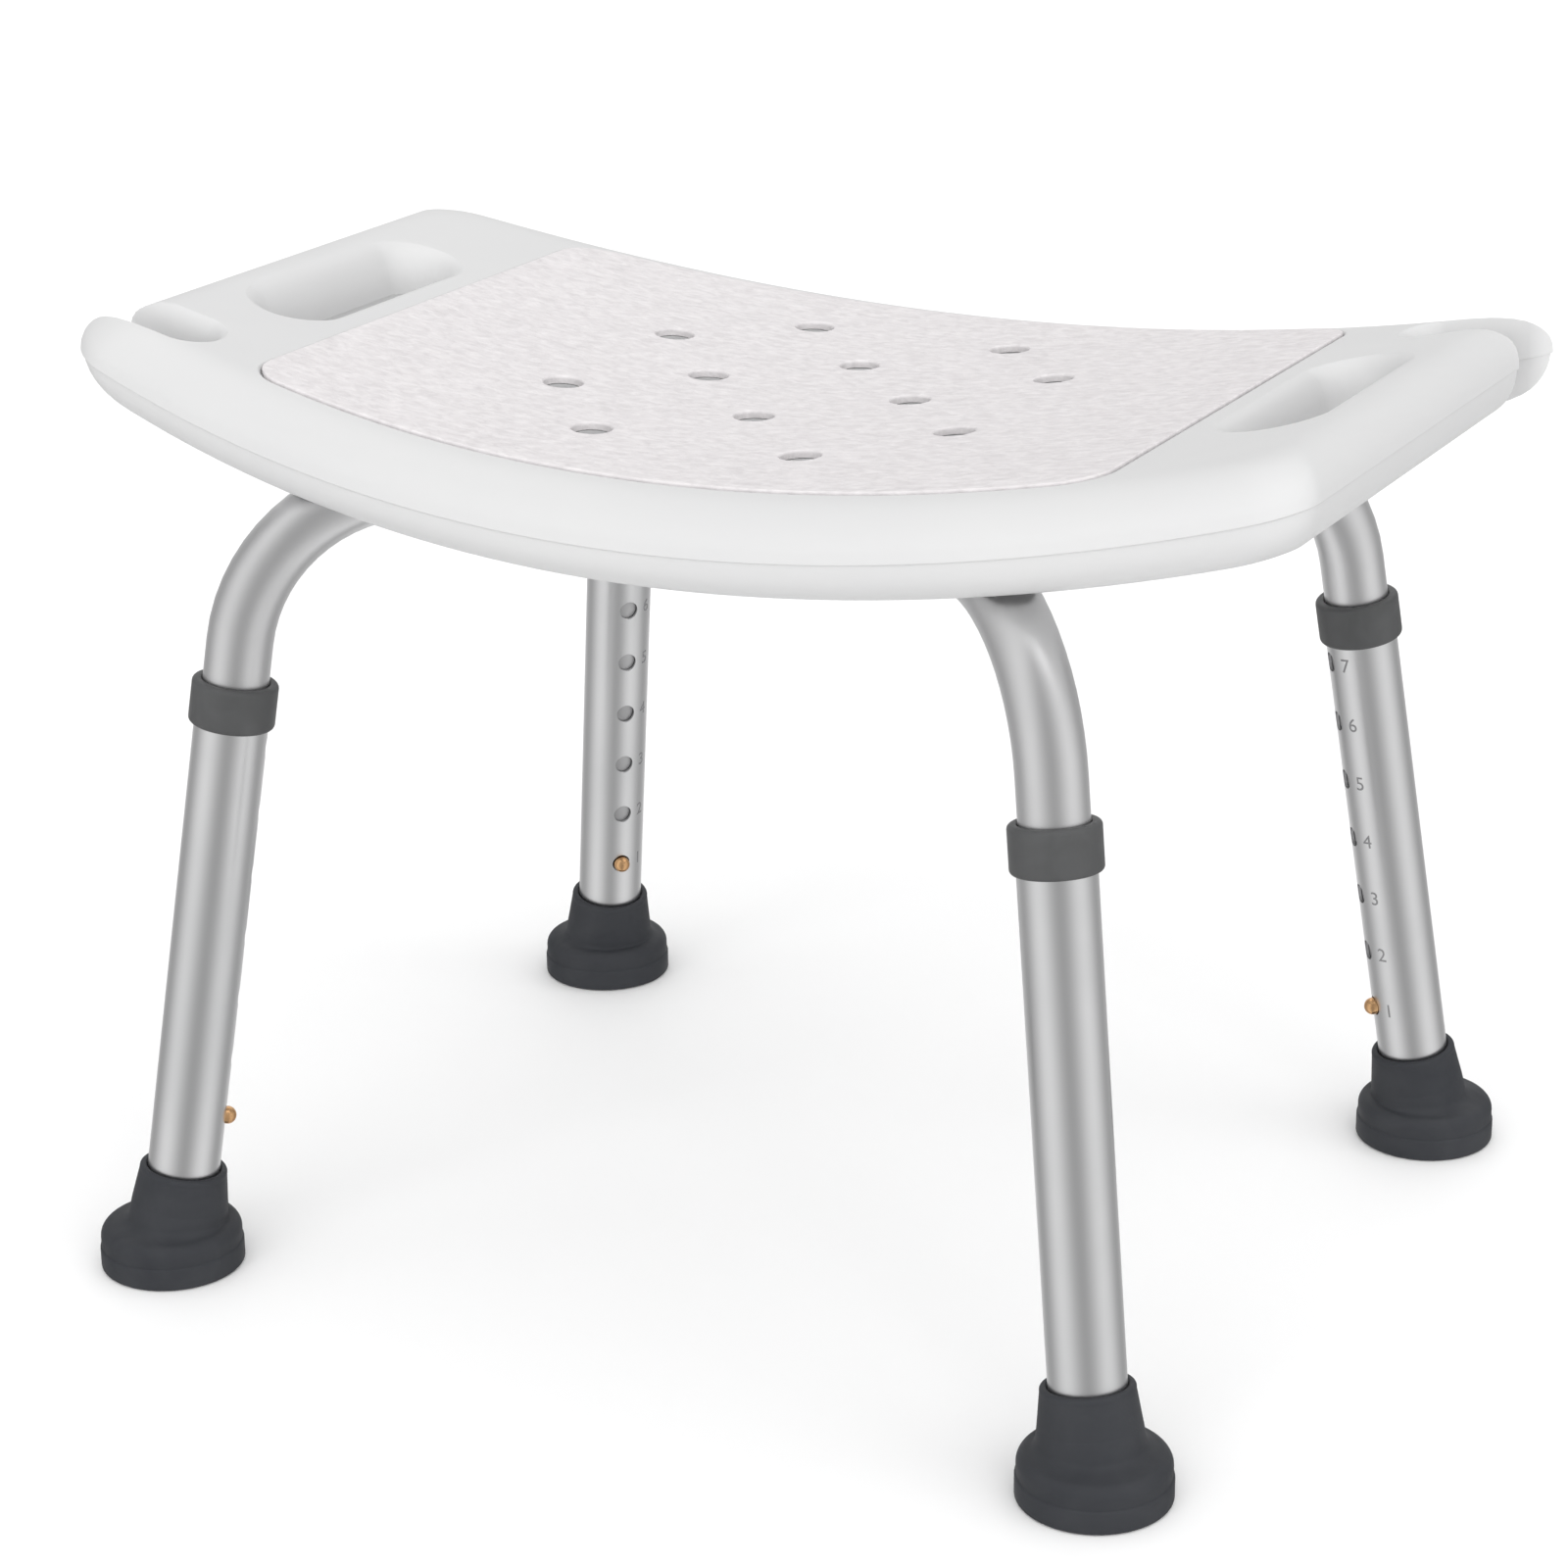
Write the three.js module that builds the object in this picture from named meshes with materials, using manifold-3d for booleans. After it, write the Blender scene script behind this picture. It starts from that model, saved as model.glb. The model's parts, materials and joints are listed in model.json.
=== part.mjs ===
// Height-adjustable shower stool: a blow-moulded seat with a foam pad, on two bent tubes that cross
// under it, with four telescopic legs that lock with snap buttons.
// Millimetres. X runs along the seat, -Y is its front, Z is up, and the origin is on the floor
// below the middle of the seat.
import * as THREE from 'three';
import { mergeVertices } from 'three/addons/utils/BufferGeometryUtils.js';
import Module from 'manifold-3d';

const wasm = await Module();
wasm.setup();

const gap = 0.3; // left between two pieces that touch
const through = 400; // a cutter this long goes right through any piece
const roundSides = 18; // flats on a tube's section
const smallSides = 10; // flats on pins, screws and small holes

const seat = {
  halfLength: 254,
  halfWidth: 158,
  bow: 0.00055, // the long sides draw in by bow * x^2
  dish: 0.00056, // the whole seat rises by dish * x^2
  corner: 20,
  endStep: 7, // how much further the two hose fingers reach than the rest of each end
  endStepFrom: 215,
  topZ: 334,
  partingZ: 315.5,
  bottomZ: 299,
  topNoseSide: 24, // how far the flat top stops short of the outline
  topNoseEnd: 25,
  bottomNoseSide: 18,
  bottomNoseEnd: 15,
  wall: 2.5,
};
const pad = { halfLength: 172, halfWidth: 134, corner: 15, thick: 3, proud: 0.9, gap: 0.7, bandSteps: 22 };
const drain = { radius: 7.5, columns: [-82, -43, 0, 43, 82], rows: [-86, -42, 0, 42, 86] };
const slot = {
  x: 203, width: 24, length: 102, dishX: 204, dishWidth: 43, dishLength: 136, dishDepth: 14, draft: 4,
};
const notch = { y: 100, width: 19, innerX: 202, dishWidth: 29, dishDepth: 9 };
const vent = { x: 112, radius: 3 };

const tube = {
  radius: 12.5, wall: 1.2, runZ: 308.6, bend: 66.6, bendSteps: 6, azimuth: 40, channelReach: 192,
};
const leg = { spread: 258.4, slope: 0.1619, radius: 14, wall: 1.2, startS: 12.6, endS: 238 };
const holes = { radius: 4, first: 63, pitch: 25.4, count: 7 };
const upperEndS = 40; // where the upper tube ends, measured along the leg from the floor
const collar = { radius: 16.3, startS: 223, endS: 240.5, edge: 1.4 };
const foot = {
  soleRadius: 28, bandTop: 9, shoulderTop: 20, neckRadius: 19.2, cupRadius: 17, cupTopS: 41, floorS: 10,
};
const button = {
  pinRadius: 3.5, flangeRadius: 4.6, flangeIn: 8.9, flangeThick: 1.2, domeStart: 15.4, tip: 18.2,
};
const spring = { thick: 0.7, width: 7, apexS: 34 };
const screw = { shank: 3, headRadius: 6, headThick: 3.2, tipZ: 327.4, reach: 95 };
const washer = { radius: 8, bottomZ: 292.6, topZ: 298.5 };
const insert = { radius: 5, bottomZ: 321.8, height: 6.4 };

const tilt = Math.atan(leg.slope);
const corners = { fr: -tube.azimuth, br: tube.azimuth, bl: 180 - tube.azimuth, fl: 180 + tube.azimuth };
const radians = THREE.MathUtils.degToRad;

function finish(color, roughness, metalness = 0) {
  return new THREE.MeshStandardMaterial({ color, roughness, metalness });
}
const whitePlastic = finish(0xe6e6e6, 0.45);
const padFoam = finish(0xe2dedf, 0.9);
const aluminium = finish(0xc9cacb, 0.35, 1);
const greyPlastic = finish(0x565757, 0.5);
const footRubber = finish(0x3f4145, 0.75);
const brass = finish(0xb07a45, 0.3, 1);
const steel = finish(0xa9abad, 0.35, 1);

// ---- solids ----

function volumeOf(positions, index) {
  const a = new THREE.Vector3();
  const b = new THREE.Vector3();
  const c = new THREE.Vector3();
  let sum = 0;
  for (let i = 0; i < index.length; i += 3) {
    a.fromArray(positions, 3 * index[i]);
    b.fromArray(positions, 3 * index[i + 1]);
    c.fromArray(positions, 3 * index[i + 2]);
    sum += a.dot(b.cross(c));
  }
  return sum;
}

function solid(geometry) {
  const bare = geometry.clone();
  bare.deleteAttribute('normal');
  bare.deleteAttribute('uv');
  const merged = mergeVertices(bare, 1e-3);
  const positions = Float32Array.from(merged.attributes.position.array);
  const inward = volumeOf(positions, merged.index.array) < 0;
  const faces = [];
  for (let i = 0; i < merged.index.array.length; i += 3) {
    const [a, b, c] = merged.index.array.slice(i, i + 3);
    if (a === b || b === c || c === a) continue;
    faces.push(a, inward ? c : b, inward ? b : c);
  }
  const triVerts = Uint32Array.from(faces);
  return new wasm.Manifold(new wasm.Mesh({ numProp: 3, vertProperties: positions, triVerts }));
}

function named(name, shape, material) {
  const { vertProperties, triVerts } = shape.getMesh();
  const geometry = new THREE.BufferGeometry();
  geometry.setAttribute('position', new THREE.BufferAttribute(vertProperties, 3));
  geometry.setIndex(new THREE.BufferAttribute(triVerts, 1));
  geometry.computeVertexNormals();
  const mesh = new THREE.Mesh(geometry, material);
  mesh.name = name;
  return mesh;
}

function cutAll(shape, cutters) {
  return cutters.reduce((rest, cutter) => rest.subtract(cutter), shape);
}

function upright(radius, z0, z1, sides = roundSides, x = 0, y = 0) {
  const geometry = new THREE.CylinderGeometry(radius, radius, z1 - z0, sides);
  geometry.rotateX(Math.PI / 2);
  geometry.translate(x, y, (z0 + z1) / 2);
  return geometry;
}

function revolved(points, sides = roundSides) {
  const geometry = new THREE.LatheGeometry(points.map(([r, z]) => new THREE.Vector2(r, z)), sides);
  geometry.rotateX(Math.PI / 2);
  return geometry;
}

function block(x0, x1, y0, y1, z0, z1) {
  const geometry = new THREE.BoxGeometry(x1 - x0, y1 - y0, z1 - z0);
  geometry.translate((x0 + x1) / 2, (y0 + y1) / 2, (z0 + z1) / 2);
  return geometry;
}

// ---- seat ----

function halfWidthAt(x) {
  return seat.halfWidth - seat.bow * x * x;
}

function rise(x) {
  return seat.dish * x * x;
}

// Each end is drawn in beside its hose finger, and eases back to the full outline further inwards.
function endStepAt(x, y) {
  const side = Math.sign(x);
  const past = Math.max(Math.abs(x) - seat.endStepFrom, 0) / (seat.halfLength - seat.endStepFrom);
  return side * y < notch.y - 7 ? side * seat.endStep * past : 0;
}

// The seat's outline drawn in by side and end: a bowed rectangle with round corners, anticlockwise.
function outline(side, end, corner) {
  const sideSteps = 6;
  const cornerSteps = 3;
  const reach = seat.halfLength - end - corner;
  const cornerY = halfWidthAt(reach) - side - corner;
  const quarter = [];
  for (let i = 0; i < sideSteps; i += 1) {
    const x = (reach * i) / sideSteps;
    quarter.push([x, -(halfWidthAt(x) - side)]);
  }
  for (let i = 0; i <= cornerSteps; i += 1) {
    const angle = (Math.PI / 2) * (i / cornerSteps);
    quarter.push([reach + corner * Math.sin(angle), -cornerY - corner * Math.cos(angle)]);
  }
  quarter.push([reach + corner, -(cornerY - 18)]);
  const half = [...quarter, [reach + corner, 0]];
  const mirrored = quarter.slice(1).reverse().map(([x, y]) => [x, -y]);
  const right = [...half, ...mirrored, [0, halfWidthAt(0) - side]];
  const left = right.slice(1, -1).map(([x, y]) => [-x, -y]);
  return [...right, ...left];
}

// A slab with a rounded rim: rings of the outline, closed at a centre point below and above.
function slab(shrink, topZ, bottomZ, rimSteps) {
  const outer = outline(shrink, shrink, seat.corner - shrink);
  const top = outline(seat.topNoseSide, seat.topNoseEnd, 12);
  const bottom = outline(seat.bottomNoseSide, seat.bottomNoseEnd, 18);
  const rings = [{ z: bottomZ, from: bottom, scale: 0 }];
  for (const scale of [0.34, 0.67, 1]) rings.push({ z: bottomZ, from: bottom, scale });
  for (let i = 1; i <= rimSteps; i += 1) {
    const angle = (Math.PI / 2) * (i / rimSteps);
    const z = seat.partingZ - (seat.partingZ - bottomZ) * Math.cos(angle);
    rings.push({ z, from: bottom, scale: 1, out: Math.sin(angle) });
  }
  for (let i = rimSteps - 1; i >= 0; i -= 1) {
    const angle = (Math.PI / 2) * (i / rimSteps);
    const z = seat.partingZ + (topZ - seat.partingZ) * Math.cos(angle);
    rings.push({ z, from: top, scale: 1, out: Math.sin(angle) });
  }
  for (const scale of [0.75, 0.5, 0.25, 0]) rings.push({ z: topZ, from: top, scale });

  const profile = rings.map((ring) => new THREE.Vector2(ring.scale, ring.z));
  const geometry = new THREE.LatheGeometry(profile, outer.length);
  const place = geometry.attributes.position;
  for (let i = 0; i < place.count; i += 1) {
    const ring = rings[i % rings.length];
    const spoke = Math.floor(i / rings.length) % outer.length;
    const out = ring.out ?? 0;
    const fullX = (ring.from[spoke][0] * (1 - out) + outer[spoke][0] * out) * ring.scale;
    const y = (ring.from[spoke][1] * (1 - out) + outer[spoke][1] * out) * ring.scale;
    const x = fullX - endStepAt(fullX, y);
    place.setXYZ(i, x, y, ring.z + rise(x));
  }
  return geometry;
}

function stadium(width, length) {
  const radius = width / 2;
  const straight = length / 2 - radius;
  const shape = new THREE.Shape();
  shape.absarc(0, straight, radius, 0, Math.PI);
  shape.absarc(0, -straight, radius, Math.PI, 2 * Math.PI);
  shape.closePath();
  return shape;
}

function prism(shape, z0, z1, steps = 4) {
  const options = { depth: z1 - z0, bevelEnabled: false, curveSegments: steps };
  const geometry = new THREE.ExtrudeGeometry(shape, options);
  geometry.translate(0, 0, z0);
  return geometry;
}

// Widens one end of a stadium prism, which makes it a soft dish or a drafted wall.
function flare(geometry, isWide, scaleX, scaleY) {
  const place = geometry.attributes.position;
  for (let i = 0; i < place.count; i += 1) {
    if (isWide(place.getZ(i))) place.setXY(i, place.getX(i) * scaleX, place.getY(i) * scaleY);
  }
  return geometry;
}

function slotCutters(side, grow) {
  const throat = stadium(slot.width + 2 * grow, slot.length + 2 * grow);
  const opening = prism(throat, 0, through);
  opening.translate(side * slot.x, 0, 0);
  const surface = seat.topZ + rise(slot.x);
  const partingZ = seat.partingZ + rise(slot.x);
  const draft = prism(throat, partingZ - 20, partingZ);
  const spread = 2 * slot.draft;
  flare(draft, (z) => z < partingZ - 10, 1 + spread / slot.width, 1 + spread / slot.length);
  draft.translate(side * slot.x, 0, 0);
  const low = surface - slot.dishDepth - grow;
  const dish = prism(throat, low, surface + 8);
  flare(dish, (z) => z > surface, (slot.dishWidth + 6) / slot.width, (slot.dishLength + 6) / slot.length);
  const place = dish.attributes.position;
  const shift = slot.dishX - slot.x;
  for (let i = 0; i < place.count; i += 1) {
    if (place.getZ(i) > surface) place.setX(i, place.getX(i) + side * shift);
  }
  dish.translate(side * slot.x, 0, 0);
  return [solid(opening), solid(dish), solid(draft)];
}

function notchCutters(side, grow) {
  const inner = notch.innerX - grow;
  const length = 2 * (seat.halfLength + 30 - inner);
  const opening = prism(stadium(notch.width + 2 * grow, length), 0, through);
  const surface = seat.topZ + rise(230);
  const dish = prism(stadium(notch.width + 2 * grow, length), surface - notch.dishDepth - grow, surface + 8);
  flare(dish, (z) => z > surface, notch.dishWidth / notch.width, (length + 12) / length);
  for (const cutter of [opening, dish]) {
    cutter.rotateZ(Math.PI / 2);
    cutter.translate(side * (inner + length / 2), side * notch.y, 0);
  }
  return [solid(opening), solid(dish)];
}

function drainCutters(grow) {
  const cutters = [];
  drain.columns.forEach((x, column) => {
    drain.rows.forEach((y, row) => {
      if ((column + row) % 2) cutters.push(solid(upright(drain.radius + grow, 250, 400, smallSides, x, y)));
    });
  });
  return cutters;
}

// The groove that one cross tube lies in: round at the top and open below.
function channelCutter(azimuth, grow) {
  const radius = tube.radius + 0.4 + grow;
  const shape = new THREE.Shape();
  shape.absarc(0, 0, radius, 0, Math.PI);
  shape.lineTo(-radius, -60);
  shape.lineTo(radius, -60);
  shape.closePath();
  const reach = tube.channelReach + grow;
  const geometry = prism(shape, -reach, reach, roundSides / 4);
  geometry.rotateX(Math.PI / 2);
  geometry.rotateZ(Math.PI / 2 + radians(azimuth));
  geometry.translate(0, 0, tube.runZ);
  return solid(geometry);
}

function fixingPlaces() {
  const places = [[0, 0]];
  for (const azimuth of Object.values(corners)) {
    places.push([screw.reach * Math.cos(radians(azimuth)), screw.reach * Math.sin(radians(azimuth))]);
  }
  return places;
}

// A closed band that follows the dish of the seat, cut to the pad's outline.
function padBand(grow, topLift, thick) {
  const reach = seat.halfLength;
  const band = new THREE.Shape();
  const xs = [];
  for (let i = 0; i <= pad.bandSteps; i += 1) xs.push(-reach + (2 * reach * i) / pad.bandSteps);
  xs.forEach((x, i) => band[i ? 'lineTo' : 'moveTo'](x, seat.topZ + rise(x) - thick));
  xs.reverse().forEach((x) => band.lineTo(x, seat.topZ + rise(x) + topLift));
  band.closePath();
  const sheet = new THREE.ExtrudeGeometry(band, { depth: through, bevelEnabled: false });
  sheet.translate(0, 0, -through / 2);
  sheet.rotateX(Math.PI / 2);
  const endInset = seat.halfLength - pad.halfLength - grow;
  const sideInset = seat.halfWidth - pad.halfWidth - grow;
  const line = outline(sideInset, endInset, pad.corner + grow);
  const plan = new THREE.Shape(line.map(([x, y]) => new THREE.Vector2(x, y)));
  return solid(sheet).intersect(solid(prism(plan, 200, 450)));
}

function makeSeatShell() {
  const inside = slab(seat.wall, seat.topZ - pad.thick - gap - seat.wall, seat.bottomZ + seat.wall, 2);
  const channels = (grow) => [channelCutter(tube.azimuth, grow), channelCutter(-tube.azimuth, grow)];
  const openings = (grow) => [
    ...slotCutters(1, grow), ...slotCutters(-1, grow),
    ...notchCutters(1, grow), ...notchCutters(-1, grow),
    ...drainCutters(grow), ...channels(grow),
  ];
  const column = (radius, z0, z1) => ([x, y]) => solid(upright(radius, z0, z1, smallSides, x, y));
  const bosses = fixingPlaces().map(column(insert.radius + seat.wall, 290, 400));
  const hollow = cutAll(solid(inside), [...openings(seat.wall), ...bosses]);
  const top = insert.bottomZ + insert.height + gap;
  const pockets = fixingPlaces().map(column(insert.radius + gap, 300, top));
  const vents = [[-vent.x, 0], [vent.x, 0]].map(column(vent.radius, 280, seat.bottomZ + 15));
  const recess = padBand(pad.gap, 12, pad.thick - pad.proud + gap);
  const body = solid(slab(0, seat.topZ, seat.bottomZ, 4));
  return cutAll(body, [hollow, recess, ...openings(0), ...pockets, ...vents]);
}

function makePad() {
  return cutAll(padBand(0, pad.proud, pad.thick - pad.proud), drainCutters(0));
}

// ---- cross tubes ----

// Half of a tube's centre line in its own upright plane, from the lower end to the middle, as [u, z].
function halfLine(endS) {
  const centreZ = tube.runZ - tube.bend;
  const centreU = leg.spread - (tube.bend + centreZ * Math.sin(tilt)) / Math.cos(tilt);
  const points = [[leg.spread - endS * Math.sin(tilt), endS * Math.cos(tilt)]];
  for (let i = 0; i <= tube.bendSteps; i += 1) {
    const angle = tilt + (Math.PI / 2 - tilt) * (i / tube.bendSteps);
    points.push([centreU + tube.bend * Math.cos(angle), centreZ + tube.bend * Math.sin(angle)]);
  }
  return points;
}

class TubeLine extends THREE.Curve {
  constructor(endS) {
    super();
    const half = halfLine(endS);
    this.points = [...half, ...half.map(([u, z]) => [-u, z]).reverse()];
    this.steps = this.points.length - 1;
  }

  getPointAt(t, target = new THREE.Vector3()) {
    const [u, z] = this.points[Math.round(t * this.steps)];
    return target.set(u, 0, z);
  }

  getTangentAt(t, target = new THREE.Vector3()) {
    const i = Math.round(t * this.steps);
    const [u, z] = this.points[i];
    const centreU = Math.sign(u) * this.points[tube.bendSteps + 1][0];
    if (i === 0) return target.set(-Math.sin(tilt), 0, Math.cos(tilt));
    if (i === this.steps) return target.set(-Math.sin(tilt), 0, -Math.cos(tilt));
    return target.set(-(z - tube.runZ + tube.bend), 0, u - centreU).normalize();
  }
}

function bentRod(radius, azimuth, endS = upperEndS) {
  const section = new THREE.Shape();
  section.absarc(0, 0, radius, 0, 2 * Math.PI);
  const line = new TubeLine(endS);
  const options = {
    steps: line.steps, curveSegments: roundSides / 2, bevelEnabled: false, extrudePath: line,
  };
  const geometry = new THREE.ExtrudeGeometry(section, options);
  geometry.rotateZ(radians(azimuth));
  return solid(geometry);
}

// Where the two tubes cross, each is pressed to half its height: one keeps its upper half, the other
// its lower.
function pressedOut(azimuth, halfWidth, z0, z1) {
  const cutter = block(-50, 50, -halfWidth, halfWidth, z0, z1);
  cutter.rotateZ(radians(azimuth));
  return solid(cutter);
}

function makeCrossTube(azimuth, keepsTop) {
  const half = gap / 2;
  const bore = tube.radius - tube.wall;
  const far = 60;
  const spanOf = (lift) => (
    keepsTop ? [tube.runZ - far, tube.runZ + lift] : [tube.runZ - lift, tube.runZ + far]
  );
  const outside = bentRod(tube.radius, azimuth)
    .subtract(pressedOut(-azimuth, tube.radius + gap, ...spanOf(half)));
  const inside = bentRod(bore, azimuth, upperEndS - 5)
    .subtract(pressedOut(-azimuth, tube.radius + gap + tube.wall, ...spanOf(half + tube.wall)));
  const screwHoles = fixingPlaces()
    .filter(([x, y]) => Math.abs(x * Math.sin(radians(azimuth)) - y * Math.cos(radians(azimuth))) < 1)
    .map(([x, y]) => solid(upright(screw.shank + 0.4, 280, 330, smallSides, x, y)));
  return cutAll(outside, [inside, ...screwHoles, ...buttonHoles(azimuth)]);
}

function buttonHoles(azimuth) {
  return [0, 180].map((turn) => {
    const hole = sideways(upright(button.pinRadius + 0.35, 5, 30, smallSides));
    hole.translate(0, 0, holes.first);
    return solid(intoWorld(hole, azimuth + turn));
  });
}

// Turns an upright piece so that it points along +X, towards the middle of the stool.
function sideways(geometry) {
  return geometry.rotateY(Math.PI / 2);
}

// Moves a shape from a leg's own frame, with Z up the leg and X facing the middle, to the stool's.
function intoWorld(geometry, azimuth) {
  geometry.rotateY(tilt);
  geometry.translate(-leg.spread, 0, 0);
  geometry.rotateZ(radians(azimuth) + Math.PI);
  return geometry;
}

// ---- screws, washers and inserts ----

function makeScrew() {
  const headTop = washer.bottomZ - gap;
  const headBottom = headTop - screw.headThick;
  return solid(revolved([
    [0, headBottom + 1.4], [2.2, headBottom + 1.4], [2.2, headBottom], [screw.headRadius - 1.6, headBottom],
    [screw.headRadius, headBottom + 1.6], [screw.headRadius, headTop], [screw.shank, headTop],
    [screw.shank, screw.tipZ - 0.8], [screw.shank - 0.8, screw.tipZ], [0, screw.tipZ],
  ], smallSides));
}

function makeWasher(azimuth) {
  const disc = solid(upright(washer.radius, washer.bottomZ, washer.topZ, smallSides));
  const bore = solid(upright(screw.shank + 0.4, 280, 330, smallSides));
  return cutAll(disc, [bore, bentRod(tube.radius + gap, azimuth)]);
}

function makeInsert() {
  const top = insert.bottomZ + insert.height;
  const bore = screw.shank + gap;
  return solid(revolved([
    [bore, insert.bottomZ], [insert.radius, insert.bottomZ], [insert.radius, top], [bore, top],
    [bore, insert.bottomZ],
  ], smallSides));
}

// ---- legs, each in its own frame: Z up the leg, X facing the middle of the stool ----

function makeLegTube() {
  const outside = solid(upright(leg.radius, leg.startS, leg.endS));
  const bore = solid(upright(leg.radius - leg.wall, 0, through));
  const buttonSeats = [];
  for (let i = 0; i < holes.count; i += 1) {
    const hole = sideways(upright(holes.radius, 5, 30, smallSides));
    hole.translate(0, 0, holes.first + i * holes.pitch);
    buttonSeats.push(solid(hole));
  }
  return cutAll(outside, [bore, ...buttonSeats]);
}

function makeCollar() {
  const lip = leg.endS + gap;
  const innerLow = leg.radius + gap;
  const innerHigh = tube.radius + gap;
  return solid(revolved([
    [innerLow, collar.startS], [collar.radius - collar.edge, collar.startS],
    [collar.radius, collar.startS + collar.edge], [collar.radius, collar.endS - collar.edge],
    [collar.radius - collar.edge, collar.endS], [innerHigh, collar.endS],
    [innerHigh, lip], [innerLow, lip], [innerLow, collar.startS],
  ]));
}

// The sole stays level while the cup above it leans with the leg.
function makeFoot() {
  const sole = solid(revolved([
    [0, 0], [foot.soleRadius - 1, 0], [foot.soleRadius, 1], [foot.soleRadius, foot.bandTop],
    [foot.soleRadius - 0.6, foot.bandTop + 4.5], [foot.soleRadius - 2.8, foot.bandTop + 8],
    [foot.soleRadius - 6, foot.shoulderTop], [0, foot.shoulderTop],
  ]));
  const cup = revolved([
    [0, 6], [foot.neckRadius, 6], [foot.neckRadius, foot.shoulderTop],
    [foot.cupRadius, foot.cupTopS - 1], [foot.cupRadius - 1, foot.cupTopS], [0, foot.cupTopS],
  ]);
  const bore = upright(leg.radius + gap, foot.floorS, 100);
  const [leaningCup, leaningBore] = [cup, bore].map((piece) => solid(piece.rotateY(tilt)));
  return sole.add(leaningCup).subtract(leaningBore);
}

function makeFootWasher() {
  return solid(upright(leg.radius - 0.2, foot.floorS + gap, leg.startS - gap));
}

function makeButton() {
  const body = revolved([
    [0, button.flangeIn], [button.flangeRadius, button.flangeIn],
    [button.flangeRadius, button.flangeIn + button.flangeThick],
    [button.pinRadius, button.flangeIn + button.flangeThick], [button.pinRadius, button.domeStart],
    [button.pinRadius * 0.87, button.domeStart + 1.4], [button.pinRadius * 0.5, button.tip - 0.4],
    [0, button.tip],
  ], smallSides);
  return solid(sideways(body).translate(0, 0, holes.first));
}

// A flat strip bent to a V: one arm carries the button, the other presses on the far wall of the tube.
function makeSpring() {
  const outer = button.flangeIn - gap;
  const back = -(tube.radius - tube.wall - 0.8);
  const line = [
    [outer, -6], [outer, 6], [3.2, spring.apexS - 3], [0.8, spring.apexS], [-1.8, spring.apexS - 3],
    [back, -6],
  ];
  const shape = new THREE.Shape();
  line.forEach(([x, s], i) => shape[i ? 'lineTo' : 'moveTo'](x, s));
  const inner = [
    [back + spring.thick, -6], [-1.2, spring.apexS - 4], [0.7, spring.apexS - 1.2],
    [2.5, spring.apexS - 4], [outer - spring.thick, 5.6], [outer - spring.thick, -6],
  ];
  inner.forEach(([x, s]) => shape.lineTo(x, s));
  shape.closePath();
  const geometry = new THREE.ExtrudeGeometry(shape, { depth: spring.width, bevelEnabled: false });
  geometry.translate(0, 0, -spring.width / 2);
  geometry.rotateX(Math.PI / 2);
  return solid(geometry.translate(0, 0, holes.first));
}

// ---- assembly ----

const stool = new THREE.Group();
stool.add(named('seat_shell', makeSeatShell(), whitePlastic));
stool.add(named('seat_pad', makePad(), padFoam));
stool.add(named('cross_tube_a', makeCrossTube(tube.azimuth, true), aluminium));
stool.add(named('cross_tube_b', makeCrossTube(-tube.azimuth, false), aluminium));

const fixingNames = ['centre', ...Object.keys(corners)];
const fixingTubes = [-tube.azimuth, ...Object.values(corners)];
fixingPlaces().forEach(([x, y], i) => {
  const fixing = new THREE.Group();
  fixing.position.set(x, y, 0);
  fixing.add(named(`frame_screw_${fixingNames[i]}`, makeScrew(), steel));
  fixing.add(named(`saddle_washer_${fixingNames[i]}`, makeWasher(fixingTubes[i]), greyPlastic));
  fixing.add(named(`seat_insert_${fixingNames[i]}`, makeInsert(), brass));
  stool.add(fixing);
});

for (const [corner, azimuth] of Object.entries(corners)) {
  const stand = new THREE.Group(); // level, with X facing the middle of the stool
  stand.rotation.z = radians(azimuth) + Math.PI;
  stand.position.set(leg.spread * Math.cos(radians(azimuth)), leg.spread * Math.sin(radians(azimuth)), 0);
  stand.add(named(`foot_${corner}`, makeFoot(), footRubber));
  const leaning = new THREE.Group();
  leaning.rotation.y = tilt;
  leaning.add(named(`leg_tube_${corner}`, makeLegTube(), aluminium));
  leaning.add(named(`collar_${corner}`, makeCollar(), greyPlastic));
  leaning.add(named(`foot_washer_${corner}`, makeFootWasher(), steel));
  leaning.add(named(`snap_button_${corner}`, makeButton(), brass));
  leaning.add(named(`button_spring_${corner}`, makeSpring(), steel));
  stand.add(leaning);
  stool.add(stand);
}

export default stool;
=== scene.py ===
# Shower stool: dished white seat with a foam pad, bent tube frame, telescopic legs and rubber feet.
# Lengths in the dictionaries are millimetres, and mm turns them into Blender's metres.
import json
import math

import bpy
from mathutils import Matrix, Vector


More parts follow.
